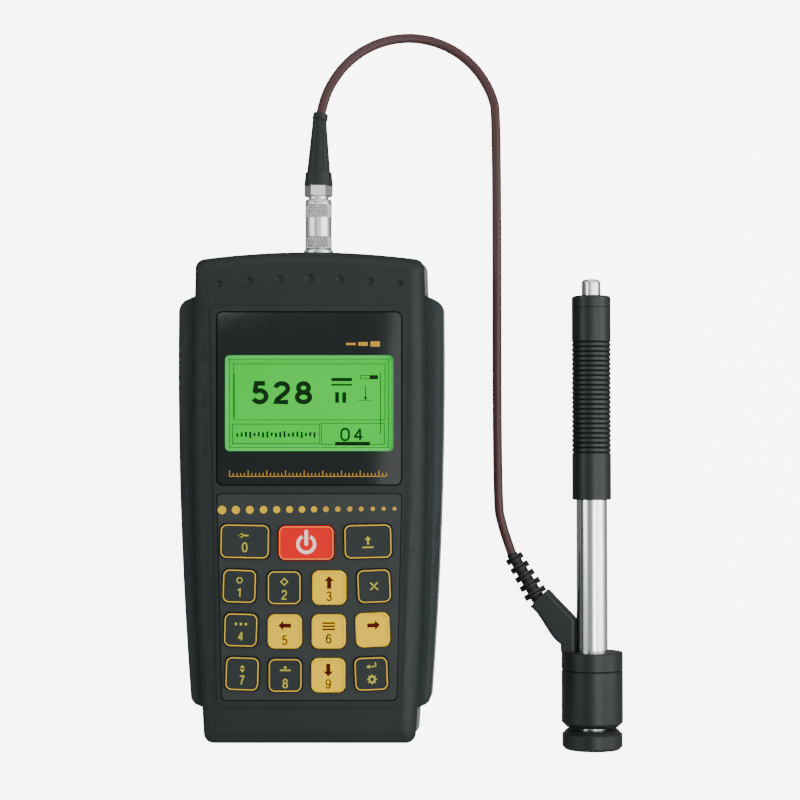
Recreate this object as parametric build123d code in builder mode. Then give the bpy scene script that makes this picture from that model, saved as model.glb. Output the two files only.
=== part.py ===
from build123d import *
from math import asin, cos, degrees, radians, sin, tan
import os

os.makedirs("parts", exist_ok=True)

# Portable rebound hardness tester: a handset, a short cord and an impact probe.
# Millimetres. The handset lies on its back on the plane Z = 0, with +Y towards its
# connector and +X towards the probe, which lies beside it.

# Case of the handset
case_length = 159.0
case_depth = 34.0
case_half_top = 37.0
case_half_bottom = 34.2
case_bulge = 1.8
case_arch = 2.6
case_corner = 3.3
split_height = 11.0
case_wall = 2.2
front_wall = 2.8
shoulder_radius = 5.0
plateau_rise = 0.5
plateau_half_top = 31.8
plateau_half_bottom = 29.6
plateau_top = 62.0
plateau_bottom = -67.0
rear_ledge = 0.8
case_ledge = 1.4
rear_edge_radius = 3.0
seat_gap = 0.25
plate_edge = 0.2

# Side grips
grip_height = 24.5
grip_top_inset = 11.2
grip_bottom_inset = 7.5
grip_reach = 11.2
grip_slope_top = 5.0
grip_slope_bottom = 4.5
grip_half_top = 43.25
grip_half_middle = 42.7
grip_half_bottom = 39.2
grip_upper_corner = 4.6
grip_lower_corner = 3.6
grip_edge_radius = 3.2
grip_groove_depth = 2.4
grip_groove_slope = 48.0

# Row of dimples along the top of the front
dimple_count = 7
dimple_pitch = 9.7
dimple_height = 70.6
dimple_radius = 1.55
dimple_shrink = 0.14
dimple_depth = 0.7
dimple_row_radius = 265.0

# Display
window_width = 59.4
window_height = 55.6
window_centre = 32.1
window_corner = 2.0
window_thickness = 1.6
view_width = 54.1
view_height = 30.8
view_centre = 30.6
view_corner = 1.4
glass_border = 1.6
glass_thickness = 1.8
backlight_border = 3.0
backlight_thickness = 5.0

# Keypad plate and keys
pad_top = 1.4
pad_bottom = -64.8
pad_half_top = 29.6
pad_half_bottom = 28.0
pad_corner = 1.5
pad_thickness = 1.5
pad_proud = 0.3
key_size = 10.9
key_corner = 2.2
key_proud = 1.0
key_rim = 0.55
key_dish = 0.25
key_clearance = 0.2
key_flange = 0.85
key_flange_thickness = 1.0
key_play = 0.1
key_travel = 0.6
key_row_pitch = 14.05
key_first_row = -28.1
key_column_pitch = 14.4
key_column_taper = 0.3
key_centre_shift = -0.75
key_outer_lift = 0.5
key_left_turn = -1.8
key_right_turn = 2.4
wide_key_row = -13.75
wide_key_height = 11.1

# Board, mat and buzzer
board_thickness = 1.6
board_half_top = 31.0
board_half_bottom = 29.0
board_top = 63.0
board_bottom = -68.0
mat_thickness = 1.0
mat_margin = 1.5
dome_size = 6.0
buzzer_radius = 6.0
buzzer_thickness = 5.0
buzzer_place = (-16.0, 56.0)

# Posts and screws
post_radius = 2.2
board_posts = [(-28.0, 56.5), (28.0, 56.5), (-28.0, 4.5), (28.0, 4.5), (-24.0, -65.6), (24.0, -65.6)]
boss_radius = 3.4
screw_places = [(-29.0, 70.0), (29.0, 70.0), (-27.0, -72.6), (27.0, -72.6)]
screw_shank_radius = 1.25
screw_head_radius = 2.4
screw_head_height = 1.6
screw_head_depth = 2.0
screw_bite = 9.0
screw_hole_clearance = 0.15

# Battery compartment
floor_thickness = 2.4
cell_radius = 7.25
cell_length = 49.0
cell_nub_radius = 2.7
cell_nub_height = 1.3
cell_pitch = 15.1
cell_centre = -45.5
cell_floor_gap = 0.25
well_wall = 1.4
well_gap = 0.35
contact_thickness = 0.4
contact_reach = 0.6
door_half_width = 17.0
door_tongue = 1.6
door_outer_thickness = 0.95
door_tongue_thickness = 0.85
door_recess = 0.3
door_gap = 0.15
door_inner_end = -17.0

# Round connector at the top end
plug_axis_x = 2.4
plug_axis_z = 19.0
socket_seat = 0.2
socket_flange_radius = 4.8
socket_flange_thickness = 1.6
socket_barrel_radius = 3.9
socket_bore_radius = 3.35
socket_depth = 11.0
socket_back = 1.5
socket_nut_flats = 11.0
socket_nut_thickness = 2.0
release_radius = 4.45
release_length = 16.3
release_gap = 0.2
release_travel = 0.8
knurl_depth = 0.15
knurl_front = 4.0
knurl_back = 4.3
release_rim = 1.7
plug_core_radius = 3.2
plug_neck_clearance = 0.08
neck_length = 0.9
collet_corner_radius = 4.65
collet_length = 3.6
boot_skirt_length = 4.4
boot_skirt_radius = 4.75
boot_skirt_end_radius = 4.3
boot_waist_radius = 3.85
boot_end_radius = 2.3
boot_ring_length = 1.9
boot_ring_radius = 2.5
boot_flute_count = 8
boot_flute_radius = 0.9
boot_flute_end_radius = 0.6
boot_flute_depth = 0.3

# Cord, from the boot's end to the probe's relief
cord_radius = 1.6
cord_route = [
    (3.10, 125.60, 18.30),
    (3.93, 129.88, 17.60),
    (6.57, 136.45, 15.90),
    (11.41, 143.51, 12.70),
    (18.59, 149.43, 9.10),
    (27.43, 152.90, 5.80),
    (37.32, 153.34, 3.40),
    (47.15, 150.02, 2.05),
    (55.20, 143.37, 1.75),
    (60.25, 134.80, 1.70),
    (61.90, 127.15, 1.70),
    (61.90, -2.90, 1.70),
    (63.75, -11.00, 2.30),
    (65.95, -17.70, 3.25),
    (66.85, -20.20, 3.70),
]
cord_run_share = 0.45

# Probe: stations are distances from its foot, along its axis
probe_x = 93.2
probe_foot_y = -84.4
foot_radius = 10.0
foot_length = 6.6
foot_floor = 2.1
foot_hole_radius = 2.6
foot_top_chamfer = 1.5
foot_bottom_chamfer = 1.0
neck_gap = 0.9
coil_radius = 10.2
coil_length = 18.6
coil_bottom_chamfer = 1.5
coil_floor = 1.8
coil_bore_radius = 8.5
collar_length = 6.15
collar_chamfer = 0.3
seam_groove = 0.3
winding_gap = 0.2
tube_radius = 5.15
tube_bore_radius = 4.0
tube_foot_station = 2.2
tube_length = 104.8
thread_clearance = 0.08
running_clearance = 0.08

# Loading sleeve, end cap and release button
sleeve_station = 82.7
sleeve_radius = 6.5
sleeve_bore_radius = 5.5
sleeve_length = 64.1
sleeve_guide_length = 15.0
rib_start = 15.8
rib_count = 23
rib_pitch = 1.6
rib_depth = 0.4
rib_groove_width = 0.7
sleeve_travel = 30.0
sleeve_edge = 0.3
cap_length = 4.0
cap_edge = 0.5
cap_spigot_length = 5.8
cap_bore_radius = 4.15
cap_roof = 2.5
button_radius = 3.15
button_proud = 5.6
button_dome = 1.2
button_flange_radius = 4.0
button_flange_thickness = 1.9
button_play = 0.2
button_travel = 2.5
button_clearance = 0.1

# Inside the probe
rod_radius = 2.2
rod_bore_radius = 0.95
rod_head_thickness = 2.5
rod_head_clearance = 0.08
chuck_radius = 2.7
chuck_station = 57.0
chuck_cavity_radius = 1.8
chuck_cavity_depth = 6.5
chuck_jaw_length = 11.0
chuck_flange_thickness = 3.0
chuck_slit = 0.6
pin_radius = 0.8
pin_station = 66.5
seat_station = 74.0
seat_thickness = 3.0
seat_bore_clearance = 0.1
loading_wire = 0.4
loading_coil_radius = 3.3
loading_turns = 11
impact_wire = 0.35
impact_coil_radius = 3.4
impact_turns = 3.5
impact_spring_reach = 0.7
button_wire = 0.25
button_coil_radius = 2.7
button_turns = 3
ball_radius = 1.5
ball_lift = 0.1
body_shoulder = 2.4
body_nose_radius = 2.2
body_nose_lift = 1.2
body_land = 9.6
body_waist_radius = 2.8
body_waist = 8.0
body_top_station = 25.0
body_stem_radius = 1.1
body_stem = 3.4
body_knob_radius = 1.5
body_knob = 1.8

# Cable relief on the collar, in the plane of the probe's axis and the cord's end
relief_roll = 11.5
relief_depth = 8.0
relief_edge_radius = 1.2
relief_tube_gap = 0.15
relief_collar_rise = 2.4
relief_back_rise = 10.75
relief_shoulder_reach = 10.15
relief_shoulder_rise = 14.75
relief_top_reach = 4.55
relief_top_rise = 20.45
relief_root_share = 0.43
relief_core_radius = 1.9
relief_root_radius = 2.4
relief_root_gap = 1.3
relief_root_sink = 2.5
relief_fin_radius = 3.1
relief_fin_growth = 0.21
relief_fin_thickness = 1.9
relief_fin_count = 5
relief_slot = 0.6
relief_slot_share = 0.72
relief_end = 0.9

# Sizes worked out from those above
case_half_length = case_length / 2
front_face = case_depth
front_skin = front_face - plateau_rise
cavity_top = front_face - front_wall
pad_floor = front_face + pad_proud - pad_thickness
window_floor = front_face - window_thickness
glass_bottom = window_floor - glass_thickness
board_face = glass_bottom - backlight_thickness
key_top = front_face + pad_proud + key_proud
key_flange_top = cavity_top - key_play
key_flange_bottom = key_flange_top - key_flange_thickness
dome_top = key_flange_bottom - key_travel - key_play
grip_top = case_half_length - grip_top_inset
grip_bottom = grip_bottom_inset - case_half_length
socket_plane = case_half_length - socket_seat
release_start = socket_plane + socket_flange_thickness + release_gap
release_end = release_start + release_length
collet_start = release_end + neck_length
boot_start = collet_start + collet_length
coil_station = foot_length + neck_gap
collar_station = coil_station + coil_length
collar_end = collar_station + collar_length
tube_end = tube_foot_station + tube_length
sleeve_end = sleeve_station + sleeve_length
cap_end = sleeve_end + cap_length
cap_roof_station = cap_end - cap_roof
head_top = sleeve_end - cap_spigot_length
head_bottom = head_top - rod_head_thickness
chuck_flange_station = chuck_station + chuck_jaw_length
rod_station = chuck_flange_station + chuck_flange_thickness
seat_end = seat_station + seat_thickness

# The probe rests on its wide collar and on the far end of its sleeve
rest_near = collar_end - collar_chamfer
rest_far = cap_end - cap_edge
probe_tilt = asin((coil_radius - sleeve_radius) / (rest_far - rest_near))
probe_direction = Vector(0, cos(probe_tilt), -sin(probe_tilt))
probe_up = Vector(0, sin(probe_tilt), cos(probe_tilt))
foot_height = coil_radius * cos(probe_tilt) + rest_near * sin(probe_tilt)
foot_point = Vector(probe_x, probe_foot_y, foot_height)
meridian = Plane(origin=foot_point, x_dir=(1, 0, 0), z_dir=probe_up)
probe_axis = Axis(foot_point, probe_direction)


def station(distance):
    """Plane across the probe's axis at a distance from its foot."""
    return Plane(origin=foot_point + probe_direction * distance, x_dir=(1, 0, 0), z_dir=probe_direction)


def case_sketch(grow=0.0, inset=0.0):
    """Front view of the case: curved sides, arched top edge and rounded corners."""
    wide = case_half_top + grow - inset
    narrow = case_half_bottom + grow - inset
    end = case_half_length - inset
    shoulder = end - case_arch
    middle = ((wide + narrow) / 2 + case_bulge, (shoulder - end) / 2)
    with BuildSketch() as sketch:
        with BuildLine():
            ThreePointArc((wide, shoulder), (0, end), (-wide, shoulder))
            ThreePointArc((-wide, shoulder), (-middle[0], middle[1]), (-narrow, -end))
            Line((-narrow, -end), (narrow, -end))
            ThreePointArc((narrow, -end), middle, (wide, shoulder))
        make_face()
        fillet(sketch.vertices(), case_corner)
    return sketch.sketch


def grip_sketch(side, grow=0.0):
    """Front view of one side grip, with its inner edge inside the case."""
    upper = grip_top - grip_slope_top
    lower = grip_bottom + grip_slope_bottom
    middle = (side * (grip_half_middle + grow), (upper + lower) / 2)
    outer_top = (side * (grip_half_top + grow), upper)
    outer_bottom = (side * (grip_half_bottom + grow), lower)
    inner_top = (side * (grip_half_top - grip_reach), grip_top + grow)
    inner_bottom = (side * (grip_half_bottom - grip_reach), grip_bottom - grow)
    with BuildSketch() as sketch:
        with BuildLine():
            Polyline(outer_top, inner_top, inner_bottom, outer_bottom)
            ThreePointArc(outer_bottom, middle, outer_top)
        make_face()
        outer = sketch.vertices().sort_by(lambda vertex: side * vertex.X)[-2:].sort_by(Axis.Y)
        fillet(outer[0], grip_lower_corner)
        outer = sketch.vertices().sort_by(Axis.Y)
        fillet(outer.filter_by(lambda vertex: abs(vertex.Y - upper) < 0.01), grip_upper_corner)
    return sketch.sketch


def tapered_sketch(half_top, half_bottom, top, bottom, corner):
    """Tapered plate outline with rounded corners."""
    with BuildSketch() as sketch:
        with BuildLine():
            Polyline((-half_top, top), (-half_bottom, bottom), (half_bottom, bottom), (half_top, top),
                     close=True)
        make_face()
        fillet(sketch.vertices(), corner)
    return sketch.sketch


def rear_form():
    """Outside of the rear shell, with its back edge rounded."""
    with BuildPart() as form:
        with BuildSketch():
            add(case_sketch(grow=case_ledge))
            add(grip_sketch(1, rear_ledge))
            add(grip_sketch(-1, rear_ledge))
        extrude(amount=split_height)
        fillet(form.faces().sort_by(Axis.Z)[0].edges(), rear_edge_radius)
    return form.part


def finish(part, name):
    """Labels a finished piece and writes it as one STEP file."""
    part.label = name
    export_step(part, f"parts/{name}.step")


# Keys: name, centre x, centre y, width, height, turn
keys = [
    ("key_delete_0", -20.6, wide_key_row, 15.9, wide_key_height, key_left_turn / 2),
    ("key_power", -0.9, wide_key_row - key_outer_lift, 17.8, wide_key_height, 0.0),
    ("key_store", 18.9, wide_key_row, 15.4, wide_key_height, key_right_turn / 2),
]
key_names = [
    ["key_1", "key_2", "key_3_up", "key_escape"],
    ["key_4", "key_5_left", "key_6_menu", "key_right"],
    ["key_7", "key_8", "key_9_down", "key_enter"],
]
for row, names in enumerate(key_names):
    for column, name in enumerate(names):
        pitch = key_column_pitch - key_column_taper * row
        key_x = key_centre_shift + (column - 1.5) * pitch
        outer = column in (0, 3)
        key_y = key_first_row - row * key_row_pitch + (0.0 if outer else -key_outer_lift)
        turn = {0: key_left_turn, 3: key_right_turn}.get(column, 0.0)
        keys.append((name, key_x, key_y, key_size, key_size, turn))


def key_shapes(margin, corner):
    """All key outlines grown by a margin, as places for holes and pads."""
    with BuildSketch() as sketch:
        for _, key_x, key_y, width, height, turn in keys:
            with Locations(Location((key_x, key_y), turn)):
                RectangleRounded(width + 2 * margin, height + 2 * margin, corner)
    return sketch.sketch


# Front shell
with BuildPart() as front_shell:
    with BuildSketch(Plane.XY.offset(split_height)):
        add(case_sketch())
    extrude(amount=front_skin - split_height)
    fillet(front_shell.faces().sort_by(Axis.Z)[-1].edges(), shoulder_radius)
    with BuildSketch(Plane.XY.offset(front_skin)):
        add(tapered_sketch(plateau_half_top, plateau_half_bottom, plateau_top, plateau_bottom,
                           window_corner))
    extrude(amount=plateau_rise)
    with BuildSketch(Plane.XY.offset(split_height)):
        add(case_sketch(inset=case_wall))
    extrude(amount=cavity_top - split_height, mode=Mode.SUBTRACT)
    with BuildSketch(Plane.XY.offset(cavity_top)):
        with Locations(*board_posts):
            Circle(post_radius)
    extrude(amount=board_face - cavity_top)
    with BuildSketch(Plane.XY.offset(cavity_top)):
        with Locations(*screw_places):
            Circle(boss_radius)
    extrude(amount=split_height - cavity_top)
    with BuildSketch(Plane.XY.offset(split_height)):
        with Locations(*screw_places):
            Circle(screw_shank_radius)
    extrude(amount=screw_bite, mode=Mode.SUBTRACT)
    with BuildSketch(Plane.XY.offset(window_floor)):
        with Locations((0, window_centre)):
            RectangleRounded(window_width + 2 * seat_gap, window_height + 2 * seat_gap,
                             window_corner + seat_gap)
    extrude(amount=window_thickness, mode=Mode.SUBTRACT)
    with BuildSketch(Plane.XY.offset(cavity_top)):
        with Locations((0, view_centre)):
            Rectangle(view_width + 2 * glass_border + seat_gap, view_height + 2 * glass_border + seat_gap)
    extrude(amount=front_wall, mode=Mode.SUBTRACT)
    with BuildSketch(Plane.XY.offset(pad_floor)):
        add(tapered_sketch(pad_half_top + seat_gap, pad_half_bottom + seat_gap, pad_top + seat_gap,
                           pad_bottom - seat_gap, pad_corner))
    extrude(amount=pad_thickness, mode=Mode.SUBTRACT)
    with BuildSketch(Plane.XY.offset(cavity_top)):
        add(key_shapes(key_clearance, key_corner))
    extrude(amount=front_wall, mode=Mode.SUBTRACT)
    for place in range(dimple_count):
        offset_x = (place - (dimple_count - 1) / 2) * dimple_pitch
        radius = dimple_radius - dimple_shrink * abs(offset_x) / dimple_pitch
        sphere_radius = (radius ** 2 + dimple_depth ** 2) / (2 * dimple_depth)
        dimple_y = dimple_height - offset_x ** 2 / (2 * dimple_row_radius)
        with Locations((offset_x, dimple_y, front_skin + sphere_radius - dimple_depth)):
            Sphere(sphere_radius, mode=Mode.SUBTRACT)
    with BuildSketch(Plane(origin=(plug_axis_x, socket_plane, plug_axis_z), z_dir=(0, 1, 0))):
        Circle(socket_flange_radius + seat_gap)
    extrude(amount=case_arch, mode=Mode.SUBTRACT)
    with BuildSketch(Plane(origin=(plug_axis_x, socket_plane, plug_axis_z), z_dir=(0, -1, 0))):
        Circle(socket_barrel_radius + screw_hole_clearance)
    extrude(amount=socket_depth, mode=Mode.SUBTRACT)
finish(front_shell.part, "front_shell")

# Rear shell with the battery well and the door's track
well_half_width = cell_pitch / 2 + cell_radius + well_gap
well_half_length = (cell_length + cell_nub_height) / 2 + contact_thickness + contact_reach
cell_axis_height = floor_thickness + cell_floor_gap + cell_radius
well_roof = cell_axis_height + cell_radius + well_gap
track_end = door_inner_end + door_gap
block_half_width = door_half_width + door_tongue + door_gap + well_wall
block_top = track_end + well_wall
block_bottom = cell_centre - well_half_length - well_wall
with BuildPart() as rear_shell:
    add(rear_form())
    with BuildSketch(Plane.XY.offset(floor_thickness)):
        add(case_sketch(inset=case_wall))
    extrude(amount=split_height, mode=Mode.SUBTRACT)
    with BuildSketch(Plane.XY.offset(floor_thickness)):
        with Locations(*screw_places):
            Circle(boss_radius)
    extrude(amount=split_height - floor_thickness)
    with BuildSketch(Plane.XY.offset(floor_thickness)):
        with Locations((0, (block_top + block_bottom) / 2)):
            Rectangle(2 * block_half_width, block_top - block_bottom)
    extrude(amount=well_roof + well_wall - floor_thickness)
    with BuildSketch():
        with Locations((0, cell_centre)):
            Rectangle(2 * well_half_width, 2 * well_half_length)
    extrude(amount=well_roof, mode=Mode.SUBTRACT)
    track_length = track_end + case_length
    lip = door_recess + door_outer_thickness - door_gap
    with BuildSketch():
        with Locations((0, track_end - track_length / 2)):
            Rectangle(2 * (door_half_width + door_gap), track_length)
    extrude(amount=lip, mode=Mode.SUBTRACT)
    with BuildSketch(Plane.XY.offset(lip)):
        with Locations((0, track_end - track_length / 2)):
            Rectangle(2 * (door_half_width + door_tongue + door_gap), track_length)
    extrude(amount=floor_thickness - lip, mode=Mode.SUBTRACT)
    with BuildSketch():
        with Locations(*screw_places):
            Circle(screw_head_radius + screw_hole_clearance)
    extrude(amount=screw_head_depth + screw_head_height, mode=Mode.SUBTRACT)
    with BuildSketch():
        with Locations(*screw_places):
            Circle(screw_shank_radius + screw_hole_clearance)
    extrude(amount=split_height, mode=Mode.SUBTRACT)
finish(rear_shell.part, "rear_shell")

# Side grips, standing on the rear shell's ledge against the front shell
for side, name in ((-1, "side_grip_left"), (1, "side_grip_right")):
    with BuildPart() as side_grip:
        with BuildSketch(Plane.XY.offset(split_height)):
            add(grip_sketch(side))
        extrude(amount=grip_height - split_height)
        rim = side_grip.faces().sort_by(Axis.Z)[-1].edges().sort_by(lambda edge: side * edge.center().X)
        fillet(rim[1:], grip_edge_radius)
        with BuildSketch(Plane.XY.offset(split_height)):
            add(case_sketch())
        extrude(amount=grip_height, mode=Mode.SUBTRACT)
        with BuildSketch(Plane.XY.offset(grip_height - grip_groove_depth)):
            add(case_sketch())
        extrude(amount=grip_groove_depth + 0.5, taper=-grip_groove_slope, mode=Mode.SUBTRACT)
    finish(side_grip.part, name)

# Display window, glass and backlight
with BuildPart() as display_window:
    with BuildSketch(Plane.XY.offset(window_floor)):
        with Locations((0, window_centre)):
            RectangleRounded(window_width, window_height, window_corner)
        with Locations((0, view_centre)):
            RectangleRounded(view_width, view_height, view_corner, mode=Mode.SUBTRACT)
    extrude(amount=window_thickness)
    chamfer(display_window.faces().sort_by(Axis.Z)[-1].outer_wire().edges(), plate_edge)
finish(display_window.part, "display_window")

with BuildPart() as lcd_panel:
    with BuildSketch(Plane.XY.offset(glass_bottom)):
        with Locations((0, view_centre)):
            Rectangle(view_width + 2 * glass_border, view_height + 2 * glass_border)
    extrude(amount=glass_thickness)
finish(lcd_panel.part, "lcd_panel")

with BuildPart() as lcd_backlight:
    with BuildSketch(Plane.XY.offset(board_face)):
        with Locations((0, view_centre)):
            Rectangle(view_width + 2 * backlight_border, view_height + 2 * backlight_border)
    extrude(amount=backlight_thickness)
finish(lcd_backlight.part, "lcd_backlight")

# Keypad plate
with BuildPart() as keypad_panel:
    with BuildSketch(Plane.XY.offset(pad_floor)):
        add(tapered_sketch(pad_half_top, pad_half_bottom, pad_top, pad_bottom, pad_corner))
        add(key_shapes(key_clearance, key_corner), mode=Mode.SUBTRACT)
    extrude(amount=pad_thickness)
    chamfer(keypad_panel.faces().sort_by(Axis.Z)[-1].outer_wire().edges(), plate_edge)
finish(keypad_panel.part, "keypad_panel")

# Key caps: a dished cap with a raised rim, held by a flange under the front shell
for name, key_x, key_y, width, height, turn in keys:
    with BuildPart() as key_cap:
        flange_plane = Plane.XY.offset(key_flange_bottom)
        with BuildSketch(flange_plane):
            with Locations(Location((key_x, key_y), turn)):
                RectangleRounded(width + 2 * key_flange, height + 2 * key_flange, key_corner)
        extrude(amount=key_flange_thickness)
        with BuildSketch(Plane.XY.offset(key_flange_top)):
            with Locations(Location((key_x, key_y), turn)):
                RectangleRounded(width, height, key_corner)
        extrude(amount=key_top - key_flange_top)
        chamfer(key_cap.faces().sort_by(Axis.Z)[-1].edges(), key_dish)
        with BuildSketch(Plane.XY.offset(key_top)):
            with Locations(Location((key_x, key_y), turn)):
                RectangleRounded(width - 2 * key_rim, height - 2 * key_rim, key_corner - key_rim)
        extrude(amount=-key_dish, mode=Mode.SUBTRACT)
    finish(key_cap.part, name)

# Rubber mat with one dome under each key
mat_top = pad_top - mat_margin
mat_bottom = pad_bottom + mat_margin
with BuildPart() as key_mat:
    with BuildSketch(Plane.XY.offset(board_face)):
        add(tapered_sketch(pad_half_top, pad_half_bottom, mat_top, mat_bottom + post_radius, pad_corner))
        with Locations(*board_posts):
            Circle(post_radius + mat_margin, mode=Mode.SUBTRACT)
    extrude(amount=mat_thickness)
    with BuildSketch(Plane.XY.offset(board_face + mat_thickness)):
        for _, key_x, key_y, _, _, turn in keys:
            with Locations(Location((key_x, key_y), turn)):
                Rectangle(dome_size, dome_size)
    extrude(amount=dome_top - board_face - mat_thickness, taper=12)
finish(key_mat.part, "key_mat")

# Main board and buzzer
with BuildPart() as main_board:
    with BuildSketch(Plane.XY.offset(board_face)):
        add(tapered_sketch(board_half_top, board_half_bottom, board_top, board_bottom, pad_corner))
    extrude(amount=-board_thickness)
finish(main_board.part, "main_board")

with BuildPart() as buzzer:
    with BuildSketch(Plane.XY.offset(board_face - board_thickness)):
        with Locations(buzzer_place):
            Circle(buzzer_radius)
    extrude(amount=-buzzer_thickness)
finish(buzzer.part, "buzzer")

# Battery cells, one each way round
for side, name in ((-1, "battery_cell_1"), (1, "battery_cell_2")):
    can_end = cell_centre - side * (cell_length + cell_nub_height) / 2
    can_plane = Plane(origin=(side * cell_pitch / 2, can_end, cell_axis_height), z_dir=(0, side, 0))
    with BuildPart() as battery_cell:
        with BuildSketch(can_plane):
            Circle(cell_radius)
        extrude(amount=cell_length)
        with BuildSketch(can_plane.offset(cell_length)):
            Circle(cell_nub_radius)
        extrude(amount=cell_nub_height)
        fillet(battery_cell.edges().filter_by(GeomType.CIRCLE).sort_by(SortBy.RADIUS)[-2:], 0.6)
    finish(battery_cell.part, name)

# Battery contacts: thin plates with a pad that reaches each cell
contact_height = 2 * cell_radius - well_gap


def contact_plate(end, centres, width):
    """One spring plate at an end of the well, with a pad for each cell."""
    face = Plane(origin=(0, cell_centre + end * well_half_length, cell_axis_height), x_dir=(1, 0, 0),
                 z_dir=(0, -end, 0))
    with BuildPart() as plate:
        with BuildSketch(face):
            with Locations((sum(centres) / len(centres), 0)):
                Rectangle(width, contact_height)
        extrude(amount=contact_thickness)
        with BuildSketch(face.offset(contact_thickness)):
            with Locations(*[(centre, 0) for centre in centres]):
                Circle(cell_nub_radius)
        extrude(amount=contact_reach, taper=20)
    return plate.part


finish(contact_plate(-1, (-cell_pitch / 2, cell_pitch / 2), 2 * cell_pitch - 3), "contact_bridge")
finish(contact_plate(1, (-cell_pitch / 2,), cell_pitch - 3), "contact_positive")
finish(contact_plate(1, (cell_pitch / 2,), cell_pitch - 3), "contact_negative")

# Battery door, cut to the rounded end of the rear shell
with BuildPart() as battery_door:
    door_length = door_inner_end + case_half_length
    with BuildSketch(Plane.XY.offset(door_recess)):
        with Locations((0, door_inner_end - door_length / 2)):
            Rectangle(2 * door_half_width, door_length)
    extrude(amount=door_outer_thickness)
    with BuildSketch(Plane.XY.offset(door_recess + door_outer_thickness)):
        with Locations((0, door_inner_end - door_length / 2)):
            Rectangle(2 * (door_half_width + door_tongue), door_length)
    extrude(amount=door_tongue_thickness)
    add(rear_form(), mode=Mode.INTERSECT)
    with BuildSketch(Plane.XY.offset(door_recess)):
        with GridLocations(0, 2.4, 1, 5):
            with Locations((0, door_inner_end - 14)):
                Rectangle(12, 1.0)
    extrude(amount=0.5, mode=Mode.SUBTRACT)
finish(battery_door.part, "battery_door")

# Case screws, from the back into the front shell's bosses
with BuildPart() as case_screws:
    with BuildSketch(Plane.XY.offset(screw_head_depth)):
        with Locations(*screw_places):
            Circle(screw_head_radius)
    extrude(amount=screw_head_height)
    with BuildSketch(Plane.XY.offset(screw_head_depth + screw_head_height)):
        with Locations(*screw_places):
            Circle(screw_shank_radius - 0.02)
    extrude(amount=split_height + screw_bite - 1.0 - screw_head_depth - screw_head_height)
    with BuildSketch(Plane.XY.offset(screw_head_depth)):
        with Locations(*screw_places):
            Rectangle(2.6, 0.6)
            Rectangle(0.6, 2.6)
    extrude(amount=0.9, mode=Mode.SUBTRACT)
finish(case_screws.part, "case_screws")

# Connector: socket in the top end and its nut
connector_axis = Axis((plug_axis_x, 0, plug_axis_z), (0, 1, 0))
connector_plane = Plane(origin=(plug_axis_x, 0, plug_axis_z), x_dir=(1, 0, 0), z_dir=(0, 0, 1))
with BuildPart() as panel_socket:
    with BuildSketch(connector_plane):
        with BuildLine():
            back = socket_plane - socket_depth
            front = socket_plane + socket_flange_thickness
            Polyline((0, back), (socket_barrel_radius, back), (socket_barrel_radius, socket_plane),
                     (socket_flange_radius, socket_plane), (socket_flange_radius, front - 0.3),
                     (socket_flange_radius - 0.3, front), (socket_bore_radius, front),
                     (socket_bore_radius, back + socket_back), (0, back + socket_back), close=True)
        make_face()
    revolve(axis=connector_axis)
finish(panel_socket.part, "panel_socket")

nut_face = case_half_length - case_wall - 0.2
with BuildPart() as socket_nut:
    with BuildSketch(Plane(origin=(plug_axis_x, nut_face, plug_axis_z), z_dir=(0, -1, 0))):
        RegularPolygon(socket_nut_flats / 2, 6, major_radius=False)
        Circle(socket_barrel_radius + 0.02, mode=Mode.SUBTRACT)
    extrude(amount=socket_nut_thickness)
finish(socket_nut.part, "socket_nut")

# Plug: core, sliding release sleeve, clamp nut and boot
plug_tip = socket_plane - socket_depth + socket_back + release_gap
with BuildPart() as plug_body:
    with BuildSketch(connector_plane):
        with BuildLine():
            nose = plug_core_radius + plug_neck_clearance
            Polyline((0, plug_tip), (nose - 0.4, plug_tip), (nose, plug_tip + 0.4), (nose, boot_start),
                     (0, boot_start), close=True)
        make_face()
    revolve(axis=connector_axis)
finish(plug_body.part, "plug_body")

with BuildPart() as plug_release_sleeve:
    with BuildSketch(connector_plane):
        with BuildLine():
            plain = release_radius - knurl_depth
            bore = plug_core_radius + 2 * plug_neck_clearance
            front_band = release_start + knurl_front
            back_band = release_end - release_rim - knurl_back
            Polyline((bore, release_start), (release_radius - 0.3, release_start),
                     (release_radius, release_start + 0.3), (release_radius, front_band),
                     (plain, front_band + 0.1), (plain, back_band), (release_radius, back_band + 0.1),
                     (release_radius, release_end - release_rim), (plain, release_end - release_rim + 0.1),
                     (plain, release_end - 0.3), (plain - 0.3, release_end), (bore, release_end),
                     close=True)
        make_face()
    revolve(axis=connector_axis)
finish(plug_release_sleeve.part, "plug_release_sleeve")

with BuildPart() as plug_collet_nut:
    with BuildSketch(Plane(origin=(plug_axis_x, collet_start, plug_axis_z), x_dir=(1, 0, 0),
                           z_dir=(0, 1, 0))):
        RegularPolygon(collet_corner_radius, 6)
        Circle(plug_core_radius + plug_neck_clearance + 0.02, mode=Mode.SUBTRACT)
    extrude(amount=collet_length)
    chamfer(plug_collet_nut.faces().sort_by(Axis.Y)[0].outer_wire().edges(), 0.35)
finish(plug_collet_nut.part, "plug_collet_nut")

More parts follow.
